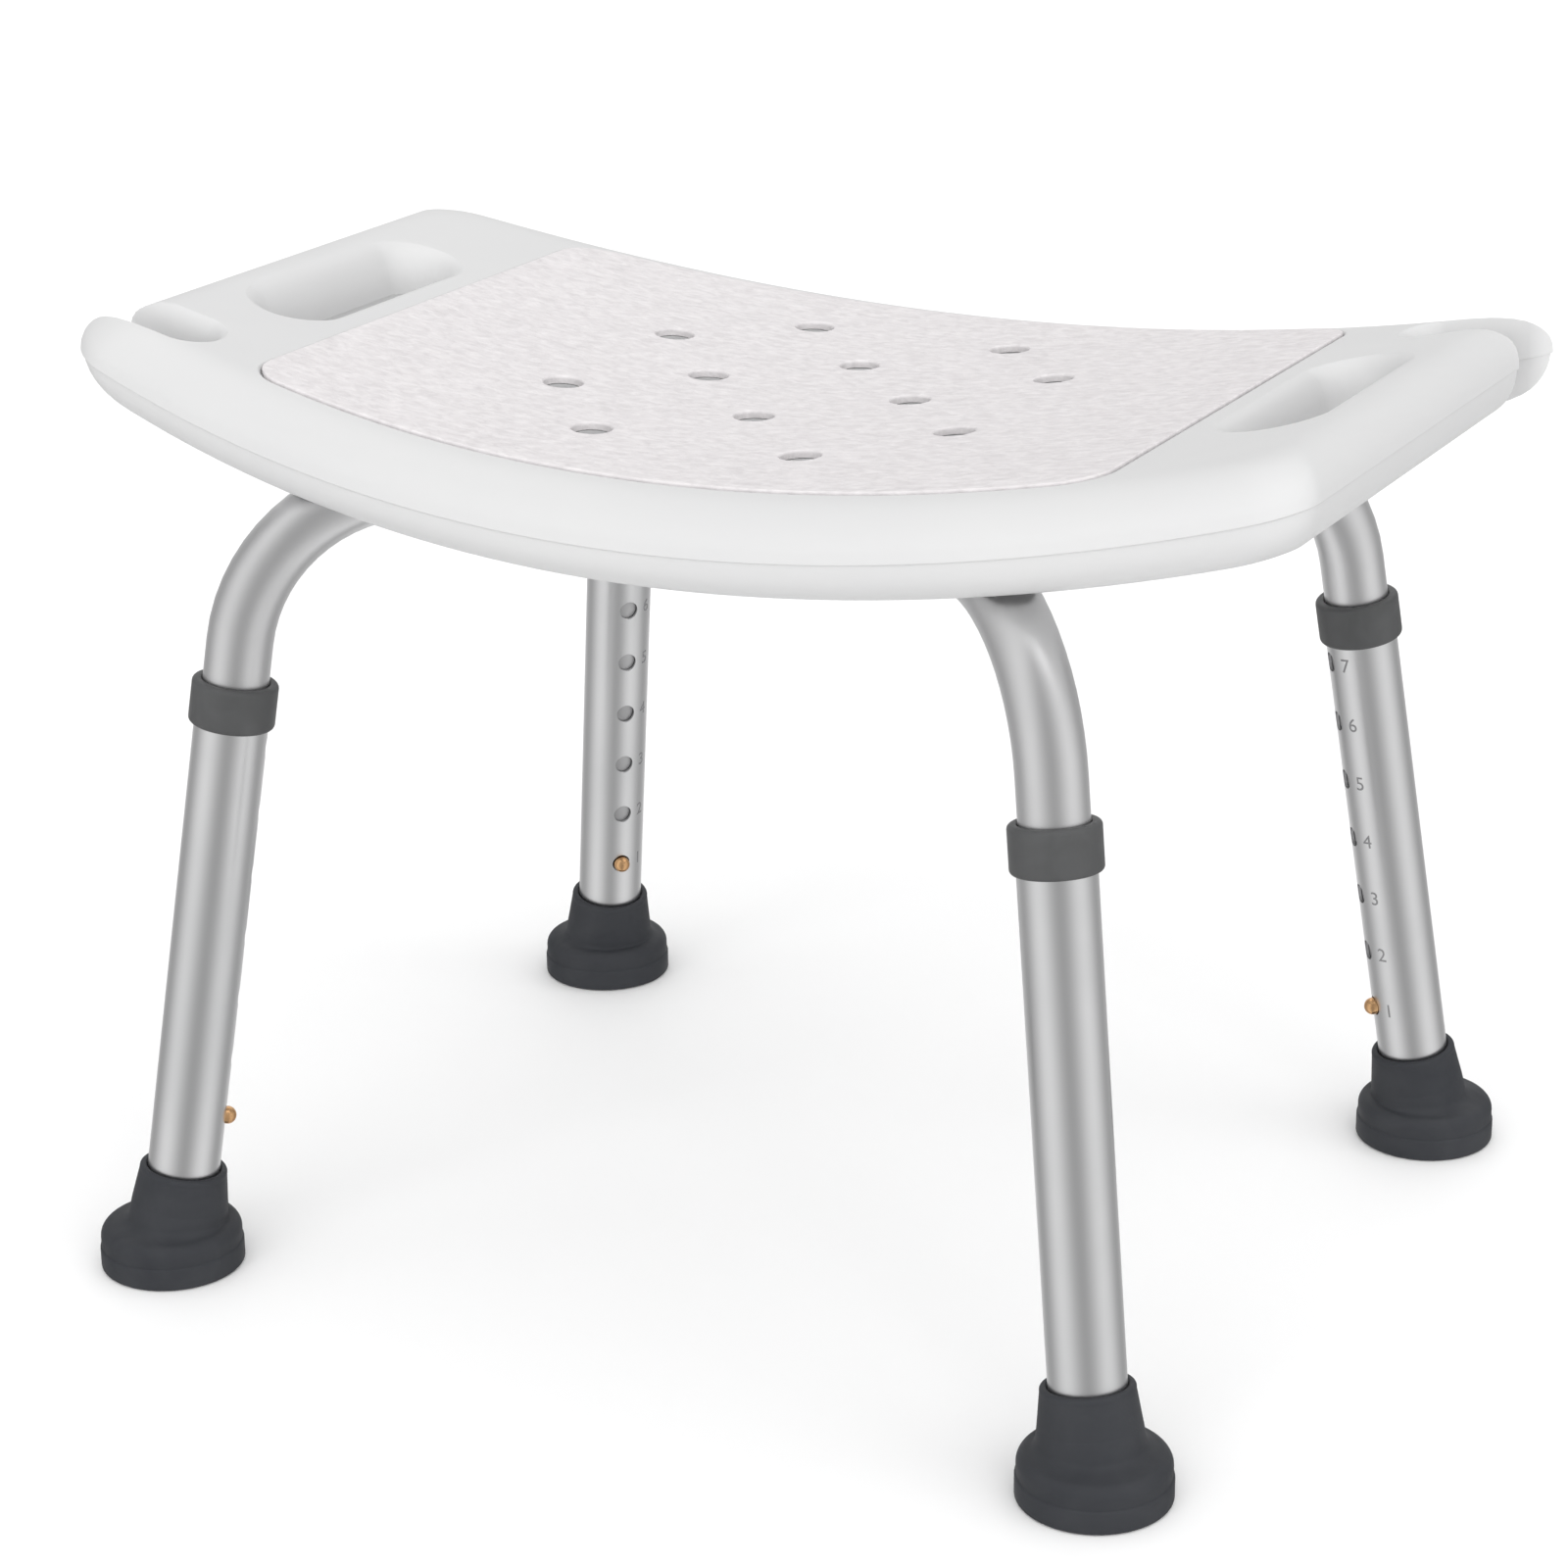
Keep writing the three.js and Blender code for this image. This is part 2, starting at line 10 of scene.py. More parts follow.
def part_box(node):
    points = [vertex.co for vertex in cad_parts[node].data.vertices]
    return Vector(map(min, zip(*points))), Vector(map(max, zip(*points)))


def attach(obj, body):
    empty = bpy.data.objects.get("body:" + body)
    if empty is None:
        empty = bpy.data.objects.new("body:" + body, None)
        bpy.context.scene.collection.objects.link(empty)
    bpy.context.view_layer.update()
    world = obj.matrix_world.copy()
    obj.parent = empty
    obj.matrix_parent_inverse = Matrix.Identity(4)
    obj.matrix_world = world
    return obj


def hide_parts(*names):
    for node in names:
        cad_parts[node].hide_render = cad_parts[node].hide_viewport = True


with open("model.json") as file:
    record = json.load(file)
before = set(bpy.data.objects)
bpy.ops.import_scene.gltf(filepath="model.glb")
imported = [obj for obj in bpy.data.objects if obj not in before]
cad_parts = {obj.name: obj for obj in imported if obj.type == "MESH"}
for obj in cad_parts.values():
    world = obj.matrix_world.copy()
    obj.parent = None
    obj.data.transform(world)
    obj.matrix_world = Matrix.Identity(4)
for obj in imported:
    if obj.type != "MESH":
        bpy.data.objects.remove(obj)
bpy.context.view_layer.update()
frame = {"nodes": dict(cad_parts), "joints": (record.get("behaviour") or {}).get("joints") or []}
mm = 0.001
corners = ["fr", "br", "bl", "fl"]
fixings = ["centre"] + corners
print("frame loaded:", len(frame["nodes"]), "nodes")


def deselect():
    if bpy.context.mode != "OBJECT":
        bpy.ops.object.mode_set(mode="OBJECT")
    bpy.ops.object.select_all(action="DESELECT")


def pick(*pieces):
    deselect()
    for piece in pieces:
        piece.select_set(True)
    bpy.context.view_layer.objects.active = pieces[0]


def editing(piece):
    pick(piece)
    bpy.ops.object.mode_set(mode="EDIT")
    bpy.ops.mesh.select_mode(type="VERT")
    bpy.ops.mesh.select_all(action="SELECT")


def selectVertices(piece, test):
    bpy.ops.mesh.select_mode(type="VERT")
    bpy.ops.mesh.select_all(action="DESELECT")
    bpy.ops.object.mode_set(mode="OBJECT")
    for vertex in piece.data.vertices:
        vertex.select = test(vertex.co)
    bpy.ops.object.mode_set(mode="EDIT")


def applyModifiers(piece):
    pick(piece)
    for modifier in list(piece.modifiers):
        bpy.ops.object.modifier_apply(modifier=modifier.name)


def tidyFaces(piece):
    # merges doubles and turns every face outwards
    editing(piece)
    bpy.ops.mesh.remove_doubles(threshold=0.005 * mm)
    bpy.ops.mesh.normals_make_consistent(inside=False)
    deselect()


def smooth(piece, angle, weighted=False):
    pick(piece)
    bpy.ops.object.shade_smooth_by_angle(angle=math.radians(angle))
    if weighted:
        modifier = piece.modifiers.new("weighted", "WEIGHTED_NORMAL")
        modifier.keep_sharp = True
        applyModifiers(piece)


def move(piece, matrix):
    # the place goes into the mesh, so the object stays at the origin
    piece.data.transform(matrix)
    piece.data.update()
    return piece


def copyOf(piece, name, matrix):
    twin = piece.copy()
    twin.data = piece.data.copy()
    twin.name = name
    bpy.context.collection.objects.link(twin)
    return move(twin, matrix)


def discard(*pieces):
    for piece in pieces:
        bpy.data.objects.remove(piece)


def joined(pieces):
    pick(*pieces)
    bpy.ops.object.join()
    return pieces[0]


def cut(piece, cutters):
    for cutter in cutters:
        modifier = piece.modifiers.new("cut", "BOOLEAN")
        modifier.operation = "DIFFERENCE"
        modifier.solver = "EXACT"
        modifier.object = cutter
        applyModifiers(piece)
    discard(*cutters)


def stackRings(rings):
    # in edit mode: the selected ring grows ring by ring, each (half length, half width, height)
    for (x0, y0, z0), (x1, y1, z1) in zip(rings, rings[1:]):
        lift = (0, 0, (z1 - z0) * mm)
        bpy.ops.mesh.extrude_region_move(TRANSFORM_OT_translate={"value": lift})
        bpy.ops.transform.resize(value=(x1 / x0, y1 / y0, 1), center_override=(0, 0, z1 * mm))


def turned(name, profile, sides, closedLoop=False):
    # profile: (radius, height) pairs from the lower end to the upper one, or round and back to the start
    deselect()
    radius, height = profile[0]
    bpy.ops.mesh.primitive_circle_add(vertices=sides, radius=radius * mm, location=(0, 0, height * mm),
                                      fill_type="NOTHING" if closedLoop else "NGON")
    piece = bpy.context.object
    piece.name = name
    bpy.ops.object.transform_apply(location=True)
    editing(piece)
    stackRings([(r, r, z) for r, z in profile])
    tidyFaces(piece)
    return piece


def arc(centreR, centreZ, radius, start, end, steps):
    # points of a round edge on a turned profile, angles in degrees from level
    turns = [math.radians(start + (end - start) * i / steps) for i in range(steps + 1)]
    return [(centreR + radius * math.cos(a), centreZ + radius * math.sin(a)) for a in turns]


def plate(name, halfLength, halfWidth, corner, rings, bow):
    # rings: (how far the outline is drawn in, height, share of that outline), from below to above
    deselect()
    bpy.ops.mesh.primitive_plane_add(size=2)
    piece = bpy.context.object
    piece.name = name
    editing(piece)
    bpy.ops.transform.resize(value=(halfLength * mm, halfWidth * mm, 1), center_override=(0, 0, 0))
    bpy.ops.mesh.bevel(affect="VERTICES", offset=corner * mm, segments=8, profile=0.5)
    for longerThan, cuts in ((1.4 * halfLength, 43), (0.9 * halfWidth, 23)):
        selectEdges(piece, lambda length: length > longerThan * mm)
        bpy.ops.mesh.subdivide(number_cuts=cuts)
    bpy.ops.object.mode_set(mode="OBJECT")
    for vertex in piece.data.vertices:
        vertex.co.y *= 1 - bow * vertex.co.x ** 2 / (halfWidth * mm)
    editing(piece)
    stack = [((halfLength - inset) * share, (halfWidth - inset) * share, z) for inset, z, share in rings]
    firstX, firstY, firstZ = stack[0]
    bpy.ops.transform.resize(value=(firstX / halfLength, firstY / halfWidth, 1), center_override=(0, 0, 0))
    bpy.ops.transform.translate(value=(0, 0, firstZ * mm))
    stackRings(stack)
    tidyFaces(piece)
    return piece


def selectEdges(piece, test):
    # by length
    bpy.ops.mesh.select_mode(type="EDGE")
    bpy.ops.mesh.select_all(action="DESELECT")
    bpy.ops.object.mode_set(mode="OBJECT")
    points = piece.data.vertices
    for edge in piece.data.edges:
        first, second = edge.vertices
        edge.select = test((points[first].co - points[second].co).length)
    bpy.ops.object.mode_set(mode="EDIT")


def splitAt(place, normal):
    bpy.ops.mesh.select_all(action="SELECT")
    bpy.ops.mesh.bisect(plane_co=place, plane_no=normal)


def inwards(inset, height):
    # the flat of a plate, drawn in ring by ring so that it can take the dish
    steps = 14
    return [(inset, height, 1 - 0.96 * i / steps) for i in range(1, steps + 1)]


def stretchApart(piece, x=0.0, y=0.0):
    # pulls the two halves of a round cutter apart, which makes it a slot
    editing(piece)
    for side in (1, -1):
        selectVertices(piece, lambda co: (co.x if x else co.y) * side > 0)
        bpy.ops.transform.translate(value=(side * x * mm, side * y * mm, 0))
    deselect()


def rod(name, radius, low, high, sides):
    return turned(name, [(radius, low), (radius, high)], sides)


def wrapUv(piece, chart):
    # chart gives (angle, length along) of a point, and the seam follows each face's middle
    layer = piece.data.uv_layers.new(name="around") if not piece.data.uv_layers else piece.data.uv_layers[0]
    layer.name = "around"
    for face in piece.data.polygons:
        middle = chart(face.center)[0]
        for loop in face.loop_indices:
            angle, along = chart(piece.data.vertices[piece.data.loops[loop].vertex_index].co)
            turns = round((middle - angle) / (2 * math.pi))
            layer.data[loop].uv = ((angle + turns * 2 * math.pi) / (2 * math.pi), along)


def uprightChart(co):
    return math.atan2(co.y, co.x), co.z


def soleCentre(corner):
    low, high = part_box("foot_" + corner)
    return (low + high) / 2


def standPlace(corner):
    # level, on the floor under a leg, with X facing the middle of the stool
    centre = soleCentre(corner)
    toMiddle = math.atan2(-centre.y, -centre.x)
    return Matrix.Translation((centre.x, centre.y, 0)) @ Matrix.Rotation(toMiddle, 4, "Z")


slideAxis = next(joint["axis"] for joint in frame["joints"] if joint["name"] == "leg_fr_slide")
tilt = math.acos(-slideAxis[2])


def legPlace(corner):
    # the same, leaning with the leg, so that Z runs up the leg
    return standPlace(corner) @ Matrix.Rotation(tilt, 4, "Y")


def newGroup(name, inputs, outputs):
    group = bpy.data.node_groups.new(name, "ShaderNodeTree")
    for socket, kind, value in inputs:
        made = group.interface.new_socket(socket, in_out="INPUT", socket_type=kind)
        if value is not None:
            made.default_value = value
    for socket, kind in outputs:
        group.interface.new_socket(socket, in_out="OUTPUT", socket_type=kind)
    return group, group.nodes.new("NodeGroupInput"), group.nodes.new("NodeGroupOutput")


def addNode(tree, kind, **values):
    node = tree.nodes.new(kind)
    for key, value in values.items():
        setattr(node, key, value)
    return node


def maths(tree, operation, first, second):
    node = addNode(tree, "ShaderNodeMath", operation=operation)
    for socket, value in zip(node.inputs, (first, second)):
        if isinstance(value, (int, float)):
            socket.default_value = value
        else:
            tree.links.new(value, socket)
    return node.outputs[0]


def makeGrainGroup():
    # moulded skin: coarse waviness with a finer grain on it
    group, entry, result = newGroup(
        "mouldedGrain",
        [("Vector", "NodeSocketVector", None), ("Grain Scale", "NodeSocketFloat", 900.0),
         ("Wave Scale", "NodeSocketFloat", 60.0), ("Wave Share", "NodeSocketFloat", 0.5)],
        [("Height", "NodeSocketFloat")])
    fine = addNode(group, "ShaderNodeTexNoise")
    fine.inputs["Detail"].default_value = 3
    fine.inputs["Roughness"].default_value = 0.6
    wave = addNode(group, "ShaderNodeTexNoise")
    wave.inputs["Detail"].default_value = 1
    for texture, scale in ((fine, "Grain Scale"), (wave, "Wave Scale")):
        group.links.new(entry.outputs["Vector"], texture.inputs["Vector"])
        group.links.new(entry.outputs[scale], texture.inputs["Scale"])
    weighted = maths(group, "MULTIPLY", wave.outputs["Fac"], entry.outputs["Wave Share"])
    group.links.new(maths(group, "ADD", fine.outputs["Fac"], weighted), result.inputs["Height"])
    return group


def makeMottleGroup():
    # soft cloudy change of colour, and a mask for the roughness
    group, entry, result = newGroup(
        "mottle",
        [("Vector", "NodeSocketVector", None), ("Scale", "NodeSocketFloat", 20.0),
         ("Light", "NodeSocketColor", (1, 1, 1, 1)), ("Dark", "NodeSocketColor", (0.8, 0.8, 0.8, 1)),
         ("Smooth", "NodeSocketFloat", 0.3), ("Rough", "NodeSocketFloat", 0.5)],
        [("Color", "NodeSocketColor"), ("Roughness", "NodeSocketFloat")])
    cloud = addNode(group, "ShaderNodeTexNoise")
    cloud.inputs["Detail"].default_value = 4
    cloud.inputs["Distortion"].default_value = 0.6
    ramp = addNode(group, "ShaderNodeMapRange")
    ramp.inputs["From Min"].default_value = 0.3
    ramp.inputs["From Max"].default_value = 0.7
    blend = addNode(group, "ShaderNodeMix", data_type="RGBA")
    shine = addNode(group, "ShaderNodeMapRange")
    group.links.new(entry.outputs["Vector"], cloud.inputs["Vector"])
    group.links.new(entry.outputs["Scale"], cloud.inputs["Scale"])
    group.links.new(cloud.outputs["Fac"], ramp.inputs["Value"])
    group.links.new(ramp.outputs["Result"], blend.inputs["Factor"])
    group.links.new(entry.outputs["Light"], blend.inputs["A"])
    group.links.new(entry.outputs["Dark"], blend.inputs["B"])
    group.links.new(blend.outputs["Result"], result.inputs["Color"])
    group.links.new(ramp.outputs["Result"], shine.inputs["Value"])
    group.links.new(entry.outputs["Smooth"], shine.inputs["To Min"])
    group.links.new(entry.outputs["Rough"], shine.inputs["To Max"])
    group.links.new(shine.outputs["Result"], result.inputs["Roughness"])
    return group


def makeDrawnLinesGroup():
    # faint lines along a drawn tube, from its own map: u once round, v in metres along
    group, entry, result = newGroup(
        "drawnLines",
        [("UV", "NodeSocketVector", None), ("Lines", "NodeSocketFloat", 70.0),
         ("Along", "NodeSocketFloat", 9.0)],
        [("Height", "NodeSocketFloat")])
    parts = addNode(group, "ShaderNodeSeparateXYZ")
    rounds = addNode(group, "ShaderNodeCombineXYZ")
    streaks = addNode(group, "ShaderNodeTexNoise")
    streaks.inputs["Scale"].default_value = 1
    streaks.inputs["Detail"].default_value = 2
    group.links.new(entry.outputs["UV"], parts.inputs["Vector"])
    turn = maths(group, "MULTIPLY", parts.outputs["X"], 2 * math.pi)
    for function, axis in (("COSINE", "X"), ("SINE", "Y")):
        swing = maths(group, function, turn, 0)
        group.links.new(maths(group, "MULTIPLY", swing, entry.outputs["Lines"]), rounds.inputs[axis])
    group.links.new(maths(group, "MULTIPLY", parts.outputs["Y"], entry.outputs["Along"]), rounds.inputs["Z"])
    group.links.new(rounds.outputs["Vector"], streaks.inputs["Vector"])
    group.links.new(streaks.outputs["Fac"], result.inputs["Height"])
    return group


grainGroup = makeGrainGroup()
mottleGroup = makeMottleGroup()
drawnLinesGroup = makeDrawnLinesGroup()


def placeGroup(tree, group, values, coordinates):
    node = addNode(tree, "ShaderNodeGroup", node_tree=group)
    for socket, value in values.items():
        node.inputs[socket].default_value = value
    tree.links.new(coordinates, node.inputs[0])
    return node


def makeMaterial(name, light, dark, smoothness, mottleScale, grainScale, bump, metallic=0.0,
                 waveScale=60.0, waveShare=0.5, flatten=None, lines=None, **constants):
    # smoothness: lowest and highest roughness; bump: depth of the grain in mm
    material = bpy.data.materials.new(name)
    material.use_nodes = True
    tree = material.node_tree
    shader = tree.nodes["Principled BSDF"]
    shader.inputs["Metallic"].default_value = metallic
    for socket, value in constants.items():
        shader.inputs[socket.replace("_", " ")].default_value = value
    place = addNode(tree, "ShaderNodeTexCoord").outputs["Object"]
    if flatten:
        mapping = addNode(tree, "ShaderNodeMapping")
        mapping.inputs["Scale"].default_value = flatten
        tree.links.new(place, mapping.inputs["Vector"])
        place = mapping.outputs["Vector"]
    mottle = placeGroup(tree, mottleGroup, {
        "Scale": mottleScale, "Light": (*light, 1), "Dark": (*dark, 1),
        "Smooth": smoothness[0], "Rough": smoothness[1]}, place)
    grain = placeGroup(tree, grainGroup, {
        "Grain Scale": grainScale, "Wave Scale": waveScale, "Wave Share": waveShare}, place)
    height = grain.outputs["Height"]
    if lines:
        around = addNode(tree, "ShaderNodeUVMap", uv_map="around").outputs["UV"]
        streaks = placeGroup(tree, drawnLinesGroup, {"Lines": lines}, around)
        height = maths(tree, "ADD", height, streaks.outputs["Height"])
    relief = addNode(tree, "ShaderNodeBump")
    relief.inputs["Strength"].default_value = 1
    relief.inputs["Distance"].default_value = bump * mm
    tree.links.new(height, relief.inputs["Height"])
    tree.links.new(mottle.outputs["Color"], shader.inputs["Base Color"])
    tree.links.new(mottle.outputs["Roughness"], shader.inputs["Roughness"])
    tree.links.new(relief.outputs["Normal"], shader.inputs["Normal"])
    return material


seatPlastic = makeMaterial(
    "seatPlastic", light=(0.59, 0.59, 0.59), dark=(0.575, 0.575, 0.578),
    smoothness=(0.34, 0.42), mottleScale=9, grainScale=1100, bump=0.012,
    waveScale=22, waveShare=6, Specular_IOR_Level=0.45)
padFoam = makeMaterial(
    "padFoam", light=(0.71, 0.687, 0.693), dark=(0.60, 0.577, 0.584),
    smoothness=(0.78, 0.92), mottleScale=230, grainScale=900, bump=0.2,
    waveScale=260, waveShare=1.8, flatten=(0.75, 1.25, 1), Specular_IOR_Level=0.25)
upperAluminium = makeMaterial(
    "upperAluminium", light=(0.80, 0.80, 0.805), dark=(0.75, 0.75, 0.755),
    smoothness=(0.32, 0.40), mottleScale=14, grainScale=2600, bump=0.003, metallic=1, lines=60)
# a darker copy of the tube metal, as painted shade for the lengths seen through the holes of the legs
paintedShadeAluminium = makeMaterial(
    "paintedShadeAluminium", light=(0.60, 0.60, 0.605), dark=(0.53, 0.53, 0.535),
    smoothness=(0.40, 0.52), mottleScale=40, grainScale=2200, bump=0.004, metallic=1, lines=90)
legAluminium = makeMaterial(
    "legAluminium", light=(0.80, 0.80, 0.805), dark=(0.74, 0.745, 0.75),
    smoothness=(0.28, 0.36), mottleScale=12, grainScale=2600, bump=0.003, metallic=1, lines=70)
collarPlastic = makeMaterial(
    "collarPlastic", light=(0.066, 0.0675, 0.069), dark=(0.054, 0.055, 0.056),
    smoothness=(0.42, 0.54), mottleScale=60, grainScale=1900, bump=0.02)
footRubber = makeMaterial(
    "footRubber", light=(0.032, 0.034, 0.039), dark=(0.025, 0.027, 0.032),
    smoothness=(0.54, 0.70), mottleScale=40, grainScale=1500, bump=0.03, Specular_IOR_Level=0.4)
buttonBrass = makeMaterial(
    "buttonBrass", light=(0.86, 0.53, 0.27), dark=(0.68, 0.39, 0.19),
    smoothness=(0.16, 0.30), mottleScale=260, grainScale=1800, bump=0.004, metallic=1)
springSteel = makeMaterial(
    "springSteel", light=(0.50, 0.50, 0.51), dark=(0.38, 0.39, 0.41),
    smoothness=(0.25, 0.40), mottleScale=90, grainScale=2200, bump=0.004, metallic=1)
zincSteel = makeMaterial(
    "zincSteel", light=(0.62, 0.62, 0.60), dark=(0.50, 0.51, 0.52),
    smoothness=(0.28, 0.45), mottleScale=120, grainScale=1700, bump=0.006, metallic=1)
washerNylon = makeMaterial(
    "washerNylon", light=(0.10, 0.10, 0.10), dark=(0.075, 0.075, 0.078),
    smoothness=(0.42, 0.55), mottleScale=90, grainScale=1900, bump=0.02)
insertBrass = makeMaterial(
    "insertBrass", light=(0.68, 0.52, 0.27), dark=(0.55, 0.41, 0.20),
    smoothness=(0.28, 0.42), mottleScale=120, grainScale=1900, bump=0.005, metallic=1)
numberInk = makeMaterial(
    "numberInk", light=(0.23, 0.23, 0.235), dark=(0.17, 0.17, 0.175),
    smoothness=(0.5, 0.65), mottleScale=300, grainScale=2600, bump=0.003)
print("materials made")


def finishPiece(piece, material, body, replaced=()):
    piece.data.materials.clear()
    piece.data.materials.append(material)
    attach(piece, body)
    if replaced:
        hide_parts(*replaced)


seat = {
    "bow": 0.55,          # the long sides draw in by bow * x^2, x in metres
    "dish": 0.56,         # the seat rises by dish * x^2
    "corner": 20,
    "endStep": 7, "endStepFrom": 215,      # how much further each hose finger reaches than the end beside it
    "top": 334, "parting": 315.5, "bottom": 299,
    "topNose": 24.5, "bottomNose": 16.5,   # how far the flats stop short of the outline
    "lip": 0.8,           # the upper half of the moulding overhangs the lower half by this much
    "slot": {"x": 203, "width": 24, "length": 102, "flare": 10.5, "flareDepth": 15, "draft": 4},
    "notch": {"inner": 202, "y": 100, "width": 19, "flare": 6.5, "flareDepth": 10, "draft": 1, "mouth": 10},
    "vent": {"x": 112, "radius": 3, "depth": 15},
}
pad = {"halfLength": 172, "halfWidth": 134, "corner": 15, "thick": 3, "proud": 0.9, "edge": 0.9, "gap": 0.45,
       "under": 0.3}
drain = {"radius": 7.5, "columns": (-82, -43, 0, 43, 82), "rows": (-86, -42, 0, 42, 86)}
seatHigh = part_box("seat_shell")[1]
halfLength = seatHigh.x / mm
halfWidth = seatHigh.y / mm


def followDish(piece):
    for vertex in piece.data.vertices:
        vertex.co.z += seat["dish"] * vertex.co.x ** 2
    piece.data.update()


def drawInEnds(piece):
    # each end stops short beside its hose finger, and the notch takes away the step between them
    for vertex in piece.data.vertices:
        x, y = vertex.co.x / mm, vertex.co.y / mm
        side = math.copysign(1, x)
        past = max(abs(x) - seat["endStepFrom"], 0) / (halfLength - seat["endStepFrom"])
        beside = min(max((seat["notch"]["y"] + 8 - side * y) / 16, 0), 1)
        vertex.co.x -= side * seat["endStep"] * past * beside * mm


def roundRim():
    # ring by ring over the rim, with the overhang of the upper half at mid height
    rings = []
    lip, parting = seat["lip"], seat["parting"]
    for degrees in range(90, 0, -10):
        turn = math.radians(degrees)
        inset = lip + (seat["bottomNose"] - lip) * (1 - math.cos(turn))
        rings.append((inset, parting - (parting - seat["bottom"]) * math.sin(turn), 1))
    rings += [(lip, parting - 0.8, 1), (lip, parting - 0.45, 1), (0.25, parting - 0.35, 1), (0, parting, 1)]
    for degrees in range(10, 91, 8):
        turn = math.radians(degrees)
        inset = seat["topNose"] * (1 - math.cos(turn))
        rings.append((inset, parting + (seat["top"] - parting) * math.sin(turn), 1))
    return rings


def flaredProfile(shape):
    # a soft lip at the top, a throat at the parting line, and a wall that widens towards the underside
    radius, flare, depth, draft = shape["width"] / 2, shape["flare"], shape["flareDepth"], shape["draft"]
    bottom, parting = seat["bottom"], seat["parting"]
    wide = radius + draft
    above = 1.5           # the cutter ends this far above its lip
    profile = [(wide + 3.4, bottom - 6), (wide + 2, bottom - 1.0), (wide + 0.7, bottom + 1.2),
               (wide - draft * 0.25, bottom + 4), (radius + 0.5, parting - 0.7),
               (radius + 0.4, parting - 0.4), (radius, parting - 0.3), (radius, parting + 1)]
    for degrees in (0, 16, 32, 46, 58, 68, 78):
        turn = math.radians(degrees)
        profile.append((radius + flare * (1 - math.cos(turn)), seat["top"] - depth * (1 - math.sin(turn))))
    last, beforeLast = profile[-1], profile[-2]
    slope = (last[0] - beforeLast[0]) / (last[1] - beforeLast[1])
    profile.append((last[0] + slope * above, last[1] + above))
    return profile


def slotCutter(side):
    shape = seat["slot"]
    cutter = turned("slotCutter", flaredProfile(shape), 54)
    stretchApart(cutter, y=(shape["length"] - shape["width"]) / 2)
    return move(cutter, Matrix.Translation((side * shape["x"] * mm, 0, 0)))


def notchCutter(side):
    shape = seat["notch"]
    reach = halfLength + 30 - shape["inner"]
    cutter = turned("notchCutter", flaredProfile(shape), 54)
    stretchApart(cutter, x=reach / 2)
    centre = shape["inner"] + shape["width"] / 2 + reach / 2
    move(cutter, Matrix.Translation((centre * mm, 0, 0)))
    editing(cutter)
    mouthStart = halfLength - shape["mouth"]
    for x in (218, 226, 234, 240, *(mouthStart + step for step in (0, 2, 4, 5.5, 7, 8, 8.7))):
        splitAt((x * mm, 0, 0), (1, 0, 0))
    bpy.ops.object.mode_set(mode="OBJECT")
    radius = shape["mouth"]
    for vertex in cutter.data.vertices:
        past = min(max(vertex.co.x / mm - mouthStart, 0), radius * 0.985)
        widen = radius - math.sqrt(radius ** 2 - past ** 2)
        vertex.co.y += math.copysign(widen * mm, vertex.co.y)
    move(cutter, Matrix.Translation((0, shape["y"] * mm, 0)))
    return move(cutter, Matrix.Rotation(math.pi if side < 0 else 0, 4, "Z"))


def holePlaces():
    for column, x in enumerate(drain["columns"]):
        for row, y in enumerate(drain["rows"]):
            if (column + row) % 2:
                yield x * mm, y * mm


def drainCutters(profile):
    model = turned("drainCutter", profile, 40)
    copies = [copyOf(model, "drainCutter", Matrix.Translation((x, y, 0))) for x, y in holePlaces()]
    discard(model)
    return joined(copies)


def recessCutter():
    grow = -pad["gap"]
    floor = seat["top"] - pad["thick"] + pad["proud"] - pad["under"]
    rings = list(reversed(inwards(grow, floor)))
    rings += [(grow, floor, 1), (grow, seat["top"] - 1.2, 1), (grow - 0.2, seat["top"] - 0.6, 1),
              (grow - 0.7, seat["top"] - 0.15, 1), (grow - 2.4, seat["top"] + 0.6, 1), (grow - 2.4, 345, 1)]
    return plate("recessCutter", pad["halfLength"], pad["halfWidth"], pad["corner"], rings, seat["bow"])


def channelCutter(azimuth, runZ):
    # a groove with round ends, wide enough for a cross tube and open below
    radius = tube["radius"] + 0.4
    deselect()
    bpy.ops.mesh.primitive_uv_sphere_add(segments=36, ring_count=18, radius=radius * mm)
    groove = bpy.context.object
    groove.name = "channelCutter"
    # a sphere pulled apart lengthwise and downwards
    stretchApart(groove, x=tube["channelReach"] - 8)
    editing(groove)
    selectVertices(groove, lambda co: co.z < 0.01 * radius * mm)
    bpy.ops.transform.translate(value=(0, 0, -40 * mm))
    deselect()
    return move(groove, Matrix.Translation((0, 0, runZ)) @ Matrix.Rotation(azimuth, 4, "Z"))


def makeSeat(runZ, azimuths):
    rings = list(reversed(inwards(seat["bottomNose"], seat["bottom"]))) + roundRim()
    rings += inwards(seat["topNose"], seat["top"])
    body = plate("seatBody", halfLength, halfWidth, seat["corner"], rings, seat["bow"])
    drawInEnds(body)
    drains = drainCutters([(drain["radius"], seat["bottom"] - 20), (drain["radius"], seat["top"] + 8)])
    cut(body, [recessCutter(), drains, slotCutter(1), slotCutter(-1), notchCutter(1), notchCutter(-1)])
    followDish(body)
    vent = seat["vent"]
    vents = [move(rod("ventCutter", vent["radius"], seat["bottom"] - 20, seat["bottom"] + vent["depth"], 24),
                  Matrix.Translation((side * vent["x"] * mm, 0, 0))) for side in (1, -1)]
    cut(body, [channelCutter(azimuth, runZ) for azimuth in azimuths] + vents)
    tidyFaces(body)
    smooth(body, 38, weighted=True)
    finishPiece(body, seatPlastic, "frame", ["seat_shell"])
    print("seat made:", len(body.data.polygons), "faces")


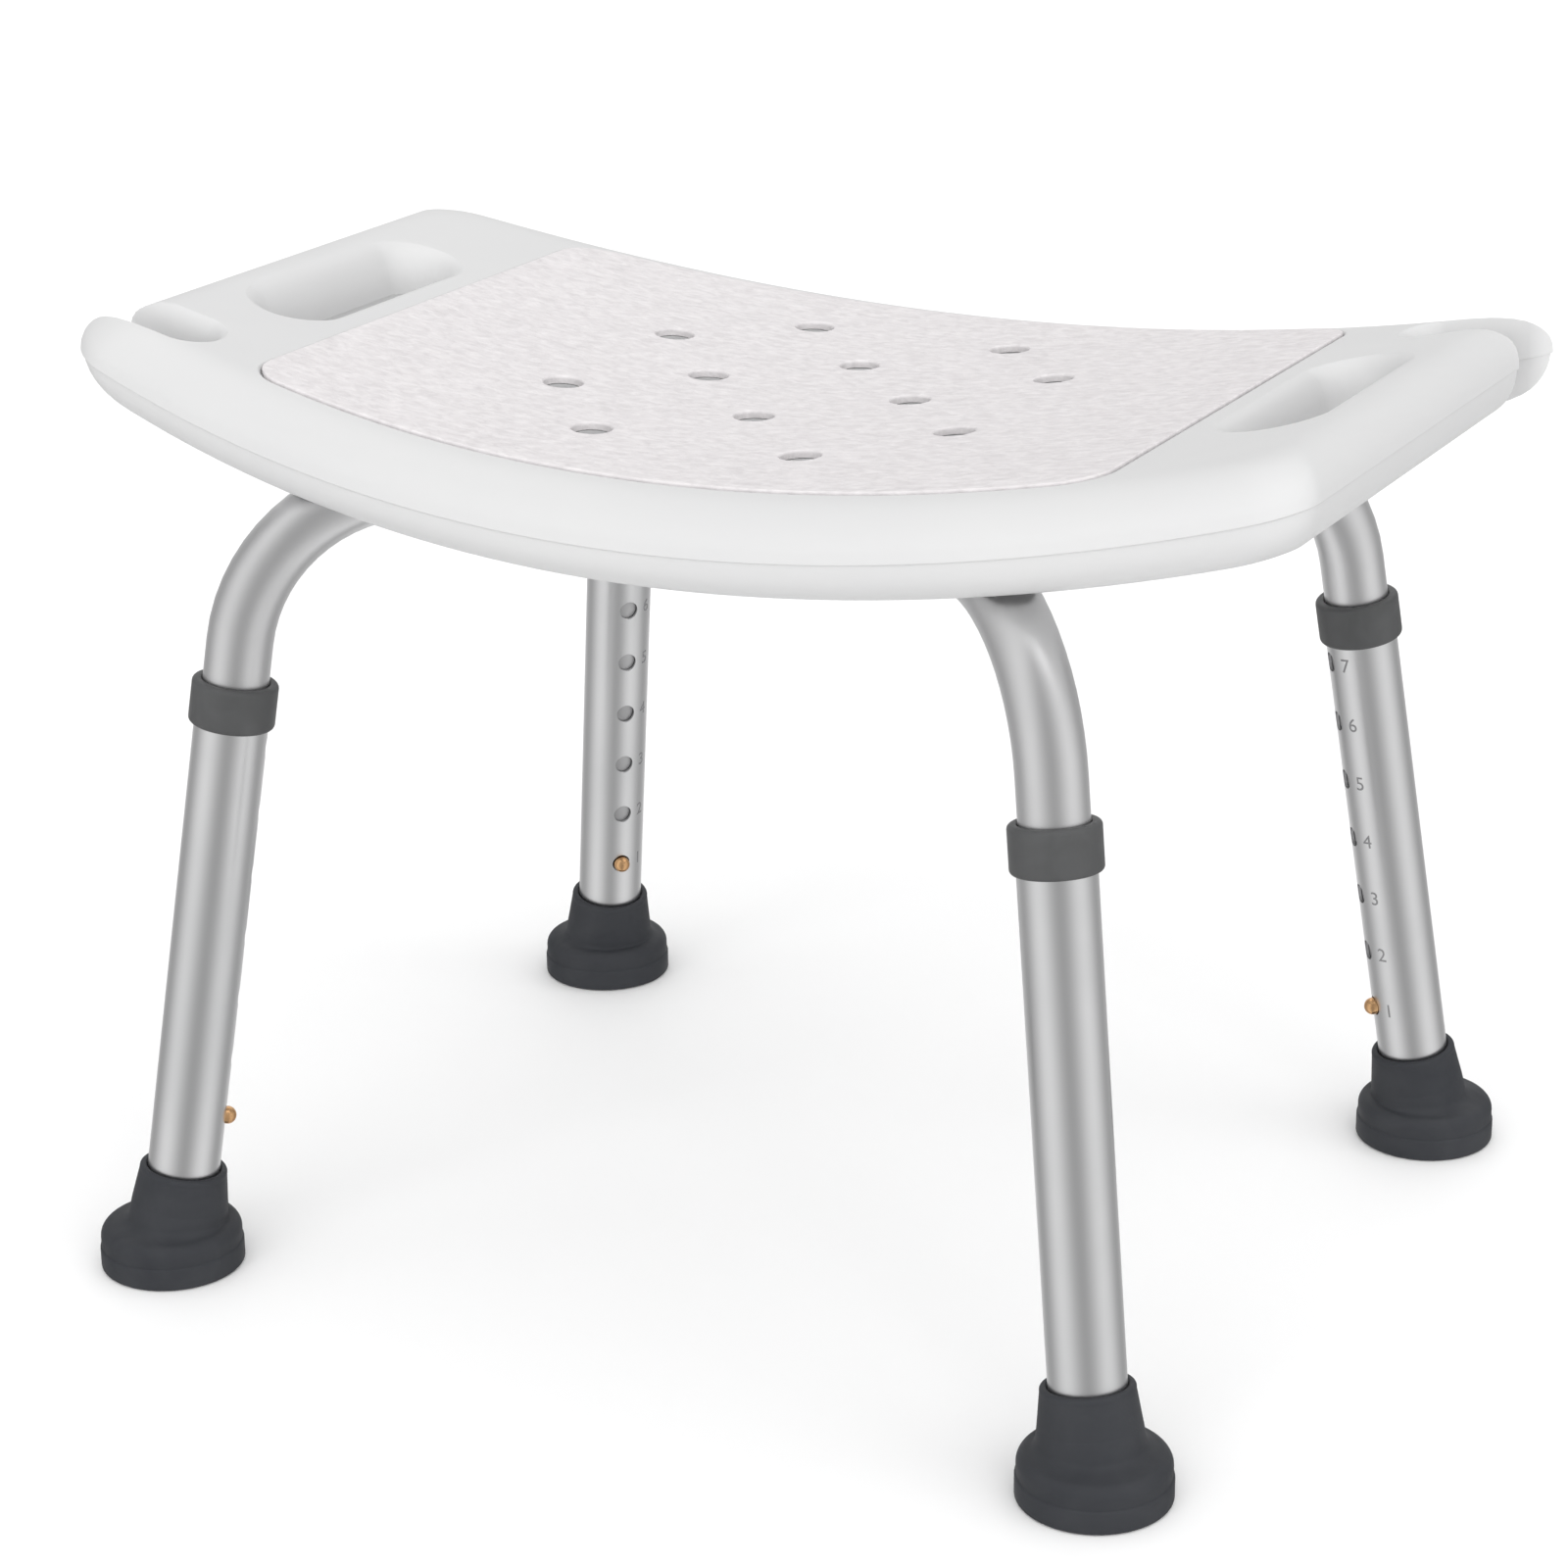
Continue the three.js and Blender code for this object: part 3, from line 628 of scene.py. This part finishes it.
def makePad():
    edge = pad["edge"]
    top = seat["top"] + pad["proud"]
    low = top - pad["thick"]
    rings = list(reversed(inwards(0.4, low)))
    rings += [(0.4, low, 1), (0, low + 0.4, 1)]
    for degrees in (0, 30, 60, 90):
        turn = math.radians(degrees)
        rings.append((edge * (1 - math.cos(turn)), top - edge * (1 - math.sin(turn)), 1))
    rings += inwards(edge, top)
    foam = plate("foamPad", pad["halfLength"], pad["halfWidth"], pad["corner"], rings, seat["bow"])
    radius = drain["radius"]
    lip = [(radius, low - 3), (radius, top - 1.1), (radius + 0.12, top - 0.6), (radius + 0.45, top - 0.2),
           (radius + 1.3, top + 0.25), (radius + 1.3, top + 3)]
    cut(foam, [drainCutters(lip)])
    followDish(foam)
    tidyFaces(foam)
    smooth(foam, 38, weighted=True)
    finishPiece(foam, padFoam, "frame", ["seat_pad"])
    print("pad made:", len(foam.data.polygons), "faces")


tube = {"radius": 12.5, "wall": 1.2, "bend": 66.6, "end": 40, "channelReach": 192}


def tubeTurns(spread, runZ):
    # middle of the bend in the tube's own upright plane
    centreZ = runZ / mm - tube["bend"]
    return spread / mm - (tube["bend"] + centreZ * math.sin(tilt)) / math.cos(tilt), centreZ


def extrudeTowards(target, origin, steps=1):
    for _ in range(steps):
        offset = tuple((b - a) * mm / steps for a, b in zip(origin, target))
        bpy.ops.mesh.extrude_region_move(TRANSFORM_OT_translate={"value": offset})


def makeCrossTube(name, node, keepsTop):
    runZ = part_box("cross_tube_a")[1].z - tube["radius"] * mm
    centre = soleCentre("br" if keepsTop else "fr")
    azimuth = math.atan2(centre.y, centre.x)
    spread = math.hypot(centre.x, centre.y)
    middleU, middleZ = tubeTurns(spread, runZ)
    bend = tube["bend"]
    lean = Vector((-math.sin(tilt), 0, math.cos(tilt)))
    start = Vector((spread / mm, 0, 0)) + lean * tube["end"]
    bendStart = Vector((middleU + bend * math.cos(tilt), 0, middleZ + bend * math.sin(tilt)))
    runTop = middleZ + bend
    crush = 34            # half the stretch with fine steps, which is pressed flat later

    deselect()
    bpy.ops.mesh.primitive_circle_add(vertices=48, radius=tube["radius"] * mm, location=start * mm,
                                      rotation=(0, -tilt, 0))
    piece = bpy.context.object
    piece.name = name
    bpy.ops.object.transform_apply(location=True, rotation=True)
    editing(piece)
    turn = math.pi / 2 - tilt
    toBend = bendStart - start
    underCollar = start + toBend * ((collar["start"] - tube["end"]) / toBend.length)
    extrudeTowards(underCollar, start, 4)
    extrudeTowards(bendStart, underCollar)
    bpy.ops.mesh.spin(steps=14, angle=turn, center=(middleU * mm, 0, middleZ * mm), axis=(0, 1, 0))
    extrudeTowards((crush, 0, runTop), (middleU, 0, runTop), 4)
    extrudeTowards((-crush, 0, runTop), (crush, 0, runTop), 34)
    extrudeTowards((-middleU, 0, runTop), (-crush, 0, runTop), 4)
    bpy.ops.mesh.spin(steps=14, angle=turn, center=(-middleU * mm, 0, middleZ * mm), axis=(0, 1, 0))
    extrudeTowards((-underCollar.x, 0, underCollar.z), (-bendStart.x, 0, bendStart.z))
    extrudeTowards((-start.x, 0, start.z), (-underCollar.x, 0, underCollar.z), 4)
    tidyFaces(piece)
    pressHalfFlat(piece, runTop, keepsTop, azimuth)
    wall = piece.modifiers.new("wall", "SOLIDIFY")
    wall.thickness = tube["wall"] * mm
    wall.offset = -1
    wall.use_even_offset = True
    applyModifiers(piece)

    drillings = []
    for side in (0, math.pi):
        hole = move(rod("buttonHole", 3.85, 5, 30, 24), Matrix.Rotation(math.pi / 2, 4, "Y"))
        move(hole, Matrix.Translation((0, 0, legHoles["first"] * mm)))
        toLeg = Matrix.Rotation(side + math.pi, 4, "Z") @ Matrix.Translation((-spread, 0, 0))
        drillings.append(move(hole, toLeg @ Matrix.Rotation(tilt, 4, "Y")))
    for reach in (-fixing["reach"], 0, fixing["reach"]):
        drillings.append(move(rod("screwHole", 3.4, 280, 330, 24), Matrix.Translation((reach * mm, 0, 0))))
    cut(piece, [joined(drillings)])
    wrapUv(piece, tubeChart(middleU, middleZ))
    smooth(piece, 40)
    move(piece, Matrix.Rotation(azimuth, 4, "Z"))
    finishPiece(piece, upperAluminium, "frame", [node])
    # the lengths that slide in the legs get a darker, duller copy of the metal: the darker colour is painted
    # shade, seen through the holes of the legs
    piece.data.materials.append(paintedShadeAluminium)
    for face in piece.data.polygons:
        face.material_index = int(face.center.z < collar["start"] * math.cos(tilt) * mm)


def pressHalfFlat(piece, runTop, keepsTop, azimuth):
    # where the tubes cross, each is pressed to half its height, easing in over a short ramp
    crossing = abs(math.sin(2 * azimuth))
    twist = math.copysign(math.cos(2 * azimuth), azimuth)
    up = 1 if keepsTop else -1
    clear = tube["radius"] + 0.3
    rampLength = 12
    for vertex in piece.data.vertices:
        distance = abs(vertex.co.x * crossing + vertex.co.y * twist) / mm
        ramp = min(max((distance - clear) / rampLength, 0), 1)
        limit = 0.15 - 13 * ramp * ramp * (3 - 2 * ramp)
        height = (vertex.co.z / mm - runTop) * up
        if distance < clear + rampLength:
            vertex.co.z = (runTop + up * max(height, limit)) * mm
    piece.data.update()


def tubeChart(middleU, middleZ):
    bend = tube["bend"]

    def chart(co):
        across, u, z = co.y / mm, abs(co.x) / mm - middleU, co.z / mm - middleZ
        side = math.copysign(1, co.x)
        if u <= 0:
            return math.atan2(across, z - bend), co.x
        turn = math.atan2(z, u)
        if turn >= tilt:
            along = middleU + bend * (math.pi / 2 - turn)
            return math.atan2(across, math.hypot(u, z) - bend), side * along * mm
        along = middleU + bend * (math.pi / 2 - tilt) + u * math.sin(tilt) - z * math.cos(tilt)
        return math.atan2(across, u * math.cos(tilt) + z * math.sin(tilt) - bend), side * along * mm

    return chart


# each leg piece is made once in its own frame, with Z up the leg and X facing the middle
legTube = {"radius": 14, "wall": 1.2, "start": 12.6, "end": 238}
legHoles = {"radius": 4, "first": 63, "pitch": 25.4, "count": 7}


def makeLegTube():
    radius, inner = legTube["radius"], legTube["radius"] - legTube["wall"]
    low, high, edge = legTube["start"], legTube["end"], 0.25
    profile = [(inner, low + edge), (inner + edge, low), (radius - edge, low), (radius, low + edge)]
    steps = 30
    profile += [(radius, low + (high - low) * i / steps) for i in range(1, steps)]
    profile += [(radius, high - edge), (radius - edge, high), (inner + edge, high), (inner, high - edge),
                (inner, low + edge)]
    piece = turned("legTube", profile, 64, closedLoop=True)
    holes = []
    for i in range(legHoles["count"]):
        lip = [(legHoles["radius"] + 0.5, 5), (legHoles["radius"], 9), (legHoles["radius"], radius - 0.2),
               (legHoles["radius"] + 0.4, radius + 0.2)]
        hole = move(turned("heightHole", lip, 32), Matrix.Rotation(math.pi / 2, 4, "Y"))
        holes.append(move(hole, Matrix.Translation((0, 0, (legHoles["first"] + i * legHoles["pitch"]) * mm))))
    cut(piece, [joined(holes)])
    tidyFaces(piece)
    wrapUv(piece, uprightChart)
    smooth(piece, 30)
    return piece


numbers = {"size": 8.2, "aside": 9.6, "proud": 0.05, "sunk": 0.12}


def makeNumbers():
    # flat numbers first, then wrapped round the tube beside their holes
    digits = []
    for i in range(legHoles["count"]):
        deselect()
        bpy.ops.object.text_add(location=(0, 0, 0))
        digit = bpy.context.object
        digit.data.body = str(i + 1)
        digit.data.size = numbers["size"] * mm
        digit.data.align_x = "CENTER"
        digit.data.align_y = "CENTER"
        digit.data.resolution_u = 4
        bpy.ops.object.convert(target="MESH")
        height = legHoles["first"] + i * legHoles["pitch"]
        digits.append(move(digit, Matrix.Translation((numbers["aside"] * mm, height * mm, 0))))
    piece = joined(digits)
    piece.name = "heightNumbers"
    editing(piece)
    for step in range(-5, 6):
        splitAt(((numbers["aside"] + 0.6 * step) * mm, 0, 0), (1, 0, 0))
    deselect()
    depth = piece.modifiers.new("depth", "SOLIDIFY")
    depth.thickness = (numbers["proud"] + numbers["sunk"]) * mm
    depth.offset = -1
    applyModifiers(piece)
    for vertex in piece.data.vertices:
        angle = vertex.co.x / (legTube["radius"] * mm)
        radius = (legTube["radius"] + numbers["proud"]) * mm + vertex.co.z
        vertex.co = (radius * math.cos(angle), radius * math.sin(angle), vertex.co.y)
    tidyFaces(piece)
    smooth(piece, 30)
    return piece


collar = {"radius": 16.3, "start": 223, "end": 240.5, "edge": 1.8}


def makeCollar():
    radius, edge = collar["radius"], collar["edge"]
    innerLow, innerHigh, lip = legTube["radius"] + 0.3, tube["radius"] + 0.3, legTube["end"] + 0.3
    low, high = collar["start"], collar["end"]
    profile = [(innerLow, low + 0.6), (innerLow + 0.5, low)]
    profile += arc(radius - edge, low + edge, edge, -90, 0, 5)
    profile += [(radius, (low + high) / 2)]
    profile += arc(radius - edge, high - edge, edge, 0, 90, 5)
    profile += [(innerHigh + 0.4, high), (innerHigh, high - 0.4), (innerHigh, lip), (innerLow, lip),
                (innerLow, low + 0.6)]
    piece = turned("tubeCollar", profile, 64, closedLoop=True)
    smooth(piece, 40)
    return piece


foot = {"sole": 28, "neck": 18.7, "neckHeight": 26, "cup": 17, "cupTop": 41, "floor": 10,
        "ribs": 12, "ribDepth": 0.14}


def makeFoot():
    # one chain of rings: grooved sole, band, rolled shoulder, then the leaning cup and its bore
    sole = foot["sole"]
    treads = [(4, 1.1), (4.6, 0), (9, 0), (9.6, 1.1), (11.4, 1.1), (12, 0), (16, 0), (16.6, 1.1), (18.4, 1.1),
              (19, 0), (22.6, 0), (23.2, 1.1), (24.6, 1.1), (25.2, 0), (sole - 1.2, 0)]
    side = arc(sole - 1.2, 1.2, 1.2, -60, 0, 3)
    side += [(sole, 4.5), (sole, 8.2), (sole - 0.15, 8.7), (sole - 0.6, 9.1), (sole - 0.65, 9.8),
             (sole - 0.5, 10.8), (sole - 0.55, 12)]
    shoulderRadius, shoulderTop = sole - 5.4, 17.9
    shoulder = arc(shoulderRadius, 12.9, 4.9, 0, 75, 7) + [(shoulderRadius, shoulderTop)]
    deselect()
    firstRadius, firstZ = treads[0]
    bpy.ops.mesh.primitive_circle_add(vertices=64, radius=firstRadius * mm, location=(0, 0, firstZ * mm),
                                      fill_type="NGON")
    piece = bpy.context.object
    piece.name = "rubberFoot"
    bpy.ops.object.transform_apply(location=True)
    editing(piece)
    stackRings([(r, r, z) for r, z in treads + side + shoulder])
    # the fillet slides towards the middle of the stool, where the cup leans
    lastRadius, lastZ, lastShift = shoulderRadius, shoulderTop, 0
    for radius, z, shift in ((21.7, 18.4, 0.7), (20.8, 18.9, 1.5), (20.1, 19.5, 2.2), (19.6, 20.3, 2.8),
                             (19.35, 21.2, 3.1)):
        offset = ((shift - lastShift) * mm, 0, (z - lastZ) * mm)
        bpy.ops.mesh.extrude_region_move(TRANSFORM_OT_translate={"value": offset})
        bpy.ops.transform.resize(value=(radius / lastRadius, radius / lastRadius, 1),
                                 center_override=(shift * mm, 0, z * mm))
        lastRadius, lastZ, lastShift = radius, z, shift
    # the cup's rings lean with the leg
    axis = Vector((math.sin(tilt), 0, math.cos(tilt)))
    level = Vector((lastShift, 0, lastZ))
    neckHeight = foot["neckHeight"]
    target = axis * neckHeight
    bpy.ops.mesh.extrude_region_move(TRANSFORM_OT_translate={"value": (target - level) * mm})
    bpy.ops.transform.resize(value=(foot["neck"] / lastRadius,) * 3, center_override=target * mm)
    bpy.ops.object.mode_set(mode="OBJECT")
    lean = Matrix.Translation(target * mm) @ Matrix.Rotation(tilt, 4, "Y") @ Matrix.Translation(-target * mm)
    for vertex in piece.data.vertices:
        if vertex.select:
            vertex.co = lean @ vertex.co
    # stand the leg upright, so that the rest of the rings are level again
    move(piece, Matrix.Rotation(-tilt, 4, "Y"))
    bpy.ops.object.mode_set(mode="EDIT")
    cup = []
    neckTop = foot["cupTop"] - 2.2
    count = foot["ribs"]
    for i in range(1, count * 2 + 1):
        share = i / (count * 2)
        radius = foot["neck"] + (foot["cup"] - foot["neck"]) * share
        ribbed = radius - (foot["ribDepth"] if i % 2 else 0)
        cup.append((ribbed, neckHeight + (neckTop - neckHeight) * share))
    top = foot["cupTop"]
    cup += arc(foot["cup"] - 1.5, top - 1.5, 1.5, 0, 90, 5)
    cup += [(legTube["radius"] + 0.9, top), (legTube["radius"] + 0.3, top - 0.6),
            (legTube["radius"] + 0.3, foot["floor"] + 0.4), (legTube["radius"] - 0.1, foot["floor"])]
    stackRings([(r, r, z) for r, z in [(foot["neck"], neckHeight)] + cup])
    tidyFaces(piece)
    wrapUv(piece, uprightChart)
    smooth(piece, 38)
    return piece


button = {"pin": 3.5, "flange": 4.6, "flangeIn": 8.9, "flangeThick": 1.2, "domeStart": 14.9, "tip": 18.2}


def makeButton():
    pin, tip, start = button["pin"], button["tip"], button["domeStart"]
    flange, flangeBottom = button["flange"], button["flangeIn"]
    flangeTop = flangeBottom + button["flangeThick"]
    profile = [(flange - 0.3, flangeBottom), (flange, flangeBottom + 0.3), (flange, flangeTop - 0.3),
               (flange - 0.3, flangeTop), (pin, flangeTop), (pin, start)]
    for degrees in (12, 24, 36, 48, 60, 70, 79, 86):
        turn = math.radians(degrees)
        profile.append((pin * math.cos(turn), start + (tip - start) * math.sin(turn)))
    piece = turned("snapButton", profile, 40)
    smooth(piece, 35)
    move(piece, Matrix.Rotation(math.pi / 2, 4, "Y"))
    return move(piece, Matrix.Translation((0, 0, legHoles["first"] * mm)))


def makeLegs():
    tubeModel, numberModel, collarModel = makeLegTube(), makeNumbers(), makeCollar()
    footModel, buttonModel = makeFoot(), makeButton()
    models = [(tubeModel, "legTube", legAluminium, "leg_tube", "leg_tube_", "leg_"),
              (numberModel, "heightNumbers", numberInk, "collar", None, "leg_"),
              (collarModel, "tubeCollar", collarPlastic, "collar", "collar_", "leg_"),
              (footModel, "rubberFoot", footRubber, "foot", "foot_", "leg_"),
              (buttonModel, "snapButton", buttonBrass, "button", "snap_button_", "button_")]
    for corner in corners:
        for model, name, material, slot, node, body in models:
            piece = copyOf(model, name + "_" + corner, legPlace(corner))
            finishPiece(piece, material, body + corner, [node + corner] if node else [])
    discard(*(model[0] for model in models))
    print("legs made")


fixing = {"shank": 3, "head": 6, "headThick": 3.2, "tip": 327.4, "reach": 95, "socket": 2.4}


def makeScrew():
    headTop = washer["bottom"] - washer["gap"]
    low, head, shank = headTop - fixing["headThick"], fixing["head"], fixing["shank"]
    profile = [(head - 1.7, low), (head - 0.9, low + 0.25), (head - 0.25, low + 0.9), (head, low + 1.8),
               (head, headTop - 0.3), (head - 0.3, headTop), (shank, headTop)]
    threadTop, pitch = fixing["tip"] - 0.8, 1.0
    z = threadTop - 8
    profile.append((shank, z))
    while z < threadTop:
        profile += [(shank - 0.28, z + pitch / 2), (shank, z + pitch)]
        z += pitch
    profile += [(shank - 0.7, fixing["tip"])]
    piece = turned("frameScrew", profile, 40)
    hexagon = turned("hexSocket", [(fixing["socket"], low - 1), (fixing["socket"], low + 1.9)], 6)
    cut(piece, [hexagon])
    smooth(piece, 30)
    return piece


washer = {"radius": 8, "bottom": 292.6, "top": 298.5, "gap": 0.3}


def makeSaddleWasher(runZ):
    radius = washer["radius"]
    bottom, top = washer["bottom"], washer["top"]
    profile = [(radius - 0.5, bottom), (radius, bottom + 0.5), (radius, top - 0.3), (radius - 0.3, top)]
    piece = turned("saddleWasher", profile, 48)
    bore = rod("washerBore", fixing["shank"] + 0.4, 280, 330, 32)
    saddle = rod("saddleCutter", tube["radius"] + washer["gap"], -30, 30, 64)
    move(saddle, Matrix.Translation((0, 0, runZ)) @ Matrix.Rotation(math.pi / 2, 4, "Y"))
    cut(piece, [bore, saddle])
    smooth(piece, 35)
    return piece


def makeFixings(runZ):
    screwModel, washerModel = makeScrew(), makeSaddleWasher(runZ)
    for name in fixings:
        low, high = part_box("frame_screw_" + name)
        centre = (low + high) / 2
        sole = soleCentre("fr" if name == "centre" else name)
        place = Matrix.Translation((centre.x, centre.y, 0))
        turn = Matrix.Rotation(math.atan2(sole.y, sole.x), 4, "Z")
        screw = copyOf(screwModel, "frameScrew_" + name, place)
        finishPiece(screw, zincSteel, "frame", ["frame_screw_" + name])
        saddle = copyOf(washerModel, "saddleWasher_" + name, place @ turn)
        finishPiece(saddle, washerNylon, "frame", ["saddle_washer_" + name])
    discard(screwModel, washerModel)
    print("screws and washers made")


def finishHiddenNodes():
    # pieces inside the seat, tubes and feet keep their simple shape
    for node, piece in frame["nodes"].items():
        for start, material in (("button_spring", springSteel), ("seat_insert", insertBrass),
                                ("foot_washer", zincSteel)):
            if node.startswith(start):
                piece.data.materials.clear()
                piece.data.materials.append(material)


def makeStool():
    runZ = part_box("cross_tube_a")[1].z - tube["radius"] * mm
    azimuths = [math.atan2(soleCentre(corner).y, soleCentre(corner).x) for corner in ("br", "fr")]
    makeSeat(runZ, azimuths)
    makePad()
    makeCrossTube("crossTubeA", "cross_tube_a", True)
    makeCrossTube("crossTubeB", "cross_tube_b", False)
    print("cross tubes made")
    makeFixings(runZ)
    makeLegs()
    finishHiddenNodes()


studio = {
    "lens": 91.59, "azimuth": 28.773, "elevation": 20.095, "roll": -0.785,
    "camera": (693.17, -1285.27, 711.26),
    "sky": 0.62, "skyBands": 0.24,   # mean brightness, and how far its three soft bands swing
    # each: where it shines from, how wide it looks in degrees, its strength, and whether the metal mirrors it
    "lamps": (
        ("overheadLamp", (0.1, 0.25, 1.0), 80, 0.8, True),
        ("frontLamp", (0.28, -0.95, 0.52), 70, 1.7, False),
        ("leftLamp", (-0.9, -0.25, 0.45), 60, 0.25, False),
        ("rightLamp", (0.95, -0.2, 0.3), 70, 0.85, False),
    ),
}


def makeCamera():
    azimuth, elevation, roll = (math.radians(studio[key]) for key in ("azimuth", "elevation", "roll"))
    back = Vector((math.sin(azimuth) * math.cos(elevation), -math.cos(azimuth) * math.cos(elevation),
                   math.sin(elevation)))
    right = Vector((math.cos(azimuth), math.sin(azimuth), 0))
    up = back.cross(right)
    rolledRight = math.cos(roll) * right + math.sin(roll) * up
    rolledUp = math.cos(roll) * up - math.sin(roll) * right
    bpy.ops.object.camera_add()
    camera = bpy.context.object
    turn = Matrix((rolledRight, rolledUp, back)).transposed().to_4x4()
    camera.matrix_world = Matrix.Translation(Vector(studio["camera"]) * mm) @ turn
    camera.data.lens = studio["lens"]
    camera.data.sensor_width = 36
    camera.data.clip_end = 20
    bpy.context.scene.camera = camera


def makeLamp(name, shinesFrom, width, strength, mirrored):
    # a far, very soft lamp, so the floor is lit evenly
    bpy.ops.object.light_add(type="SUN")
    lamp = bpy.context.object
    lamp.name = name
    lamp.rotation_euler = Vector(shinesFrom).to_track_quat("Z", "Y").to_euler()
    lamp.data.angle = math.radians(width)
    lamp.data.energy = strength
    lamp.visible_glossy = mirrored


def makeSky():
    # white room with three soft dark bands round it, which the tubes mirror as gentle stripes
    world = bpy.data.worlds.new("studioWorld")
    world.use_nodes = True
    tree = world.node_tree
    background = tree.nodes["Background"]
    background.inputs["Color"].default_value = (1, 1, 1, 1)
    direction = addNode(tree, "ShaderNodeSeparateXYZ")
    tree.links.new(addNode(tree, "ShaderNodeTexCoord").outputs["Generated"], direction.inputs["Vector"])
    heading = maths(tree, "ARCTAN2", direction.outputs["Y"], direction.outputs["X"])
    towardsCamera = math.radians(studio["azimuth"] - 90)
    bands = maths(tree, "MULTIPLY", maths(tree, "SUBTRACT", heading, towardsCamera), 3)
    swing = maths(tree, "MULTIPLY", maths(tree, "COSINE", bands, 0), -studio["skyBands"])
    tree.links.new(maths(tree, "ADD", swing, studio["sky"]), background.inputs["Strength"])
    bpy.context.scene.world = world


def makeStudio():
    deselect()
    makeCamera()
    for lamp in studio["lamps"]:
        makeLamp(*lamp)
    makeSky()
    deselect()
    bpy.ops.mesh.primitive_plane_add(size=60, location=(0, 0, -0.2 * mm))
    floor = bpy.context.object
    floor.name = "studioFloor"
    floorPaint = makeMaterial(
        "floorPaint", light=(0.95, 0.95, 0.95), dark=(0.94, 0.94, 0.94),
        smoothness=(0.75, 0.85), mottleScale=1.5, grainScale=60, bump=0.01)
    floor.data.materials.append(floorPaint)
    floor.visible_glossy = False
    bpy.context.scene.view_settings.view_transform = "Standard"
    print("studio made")


makeStudio()
makeStool()
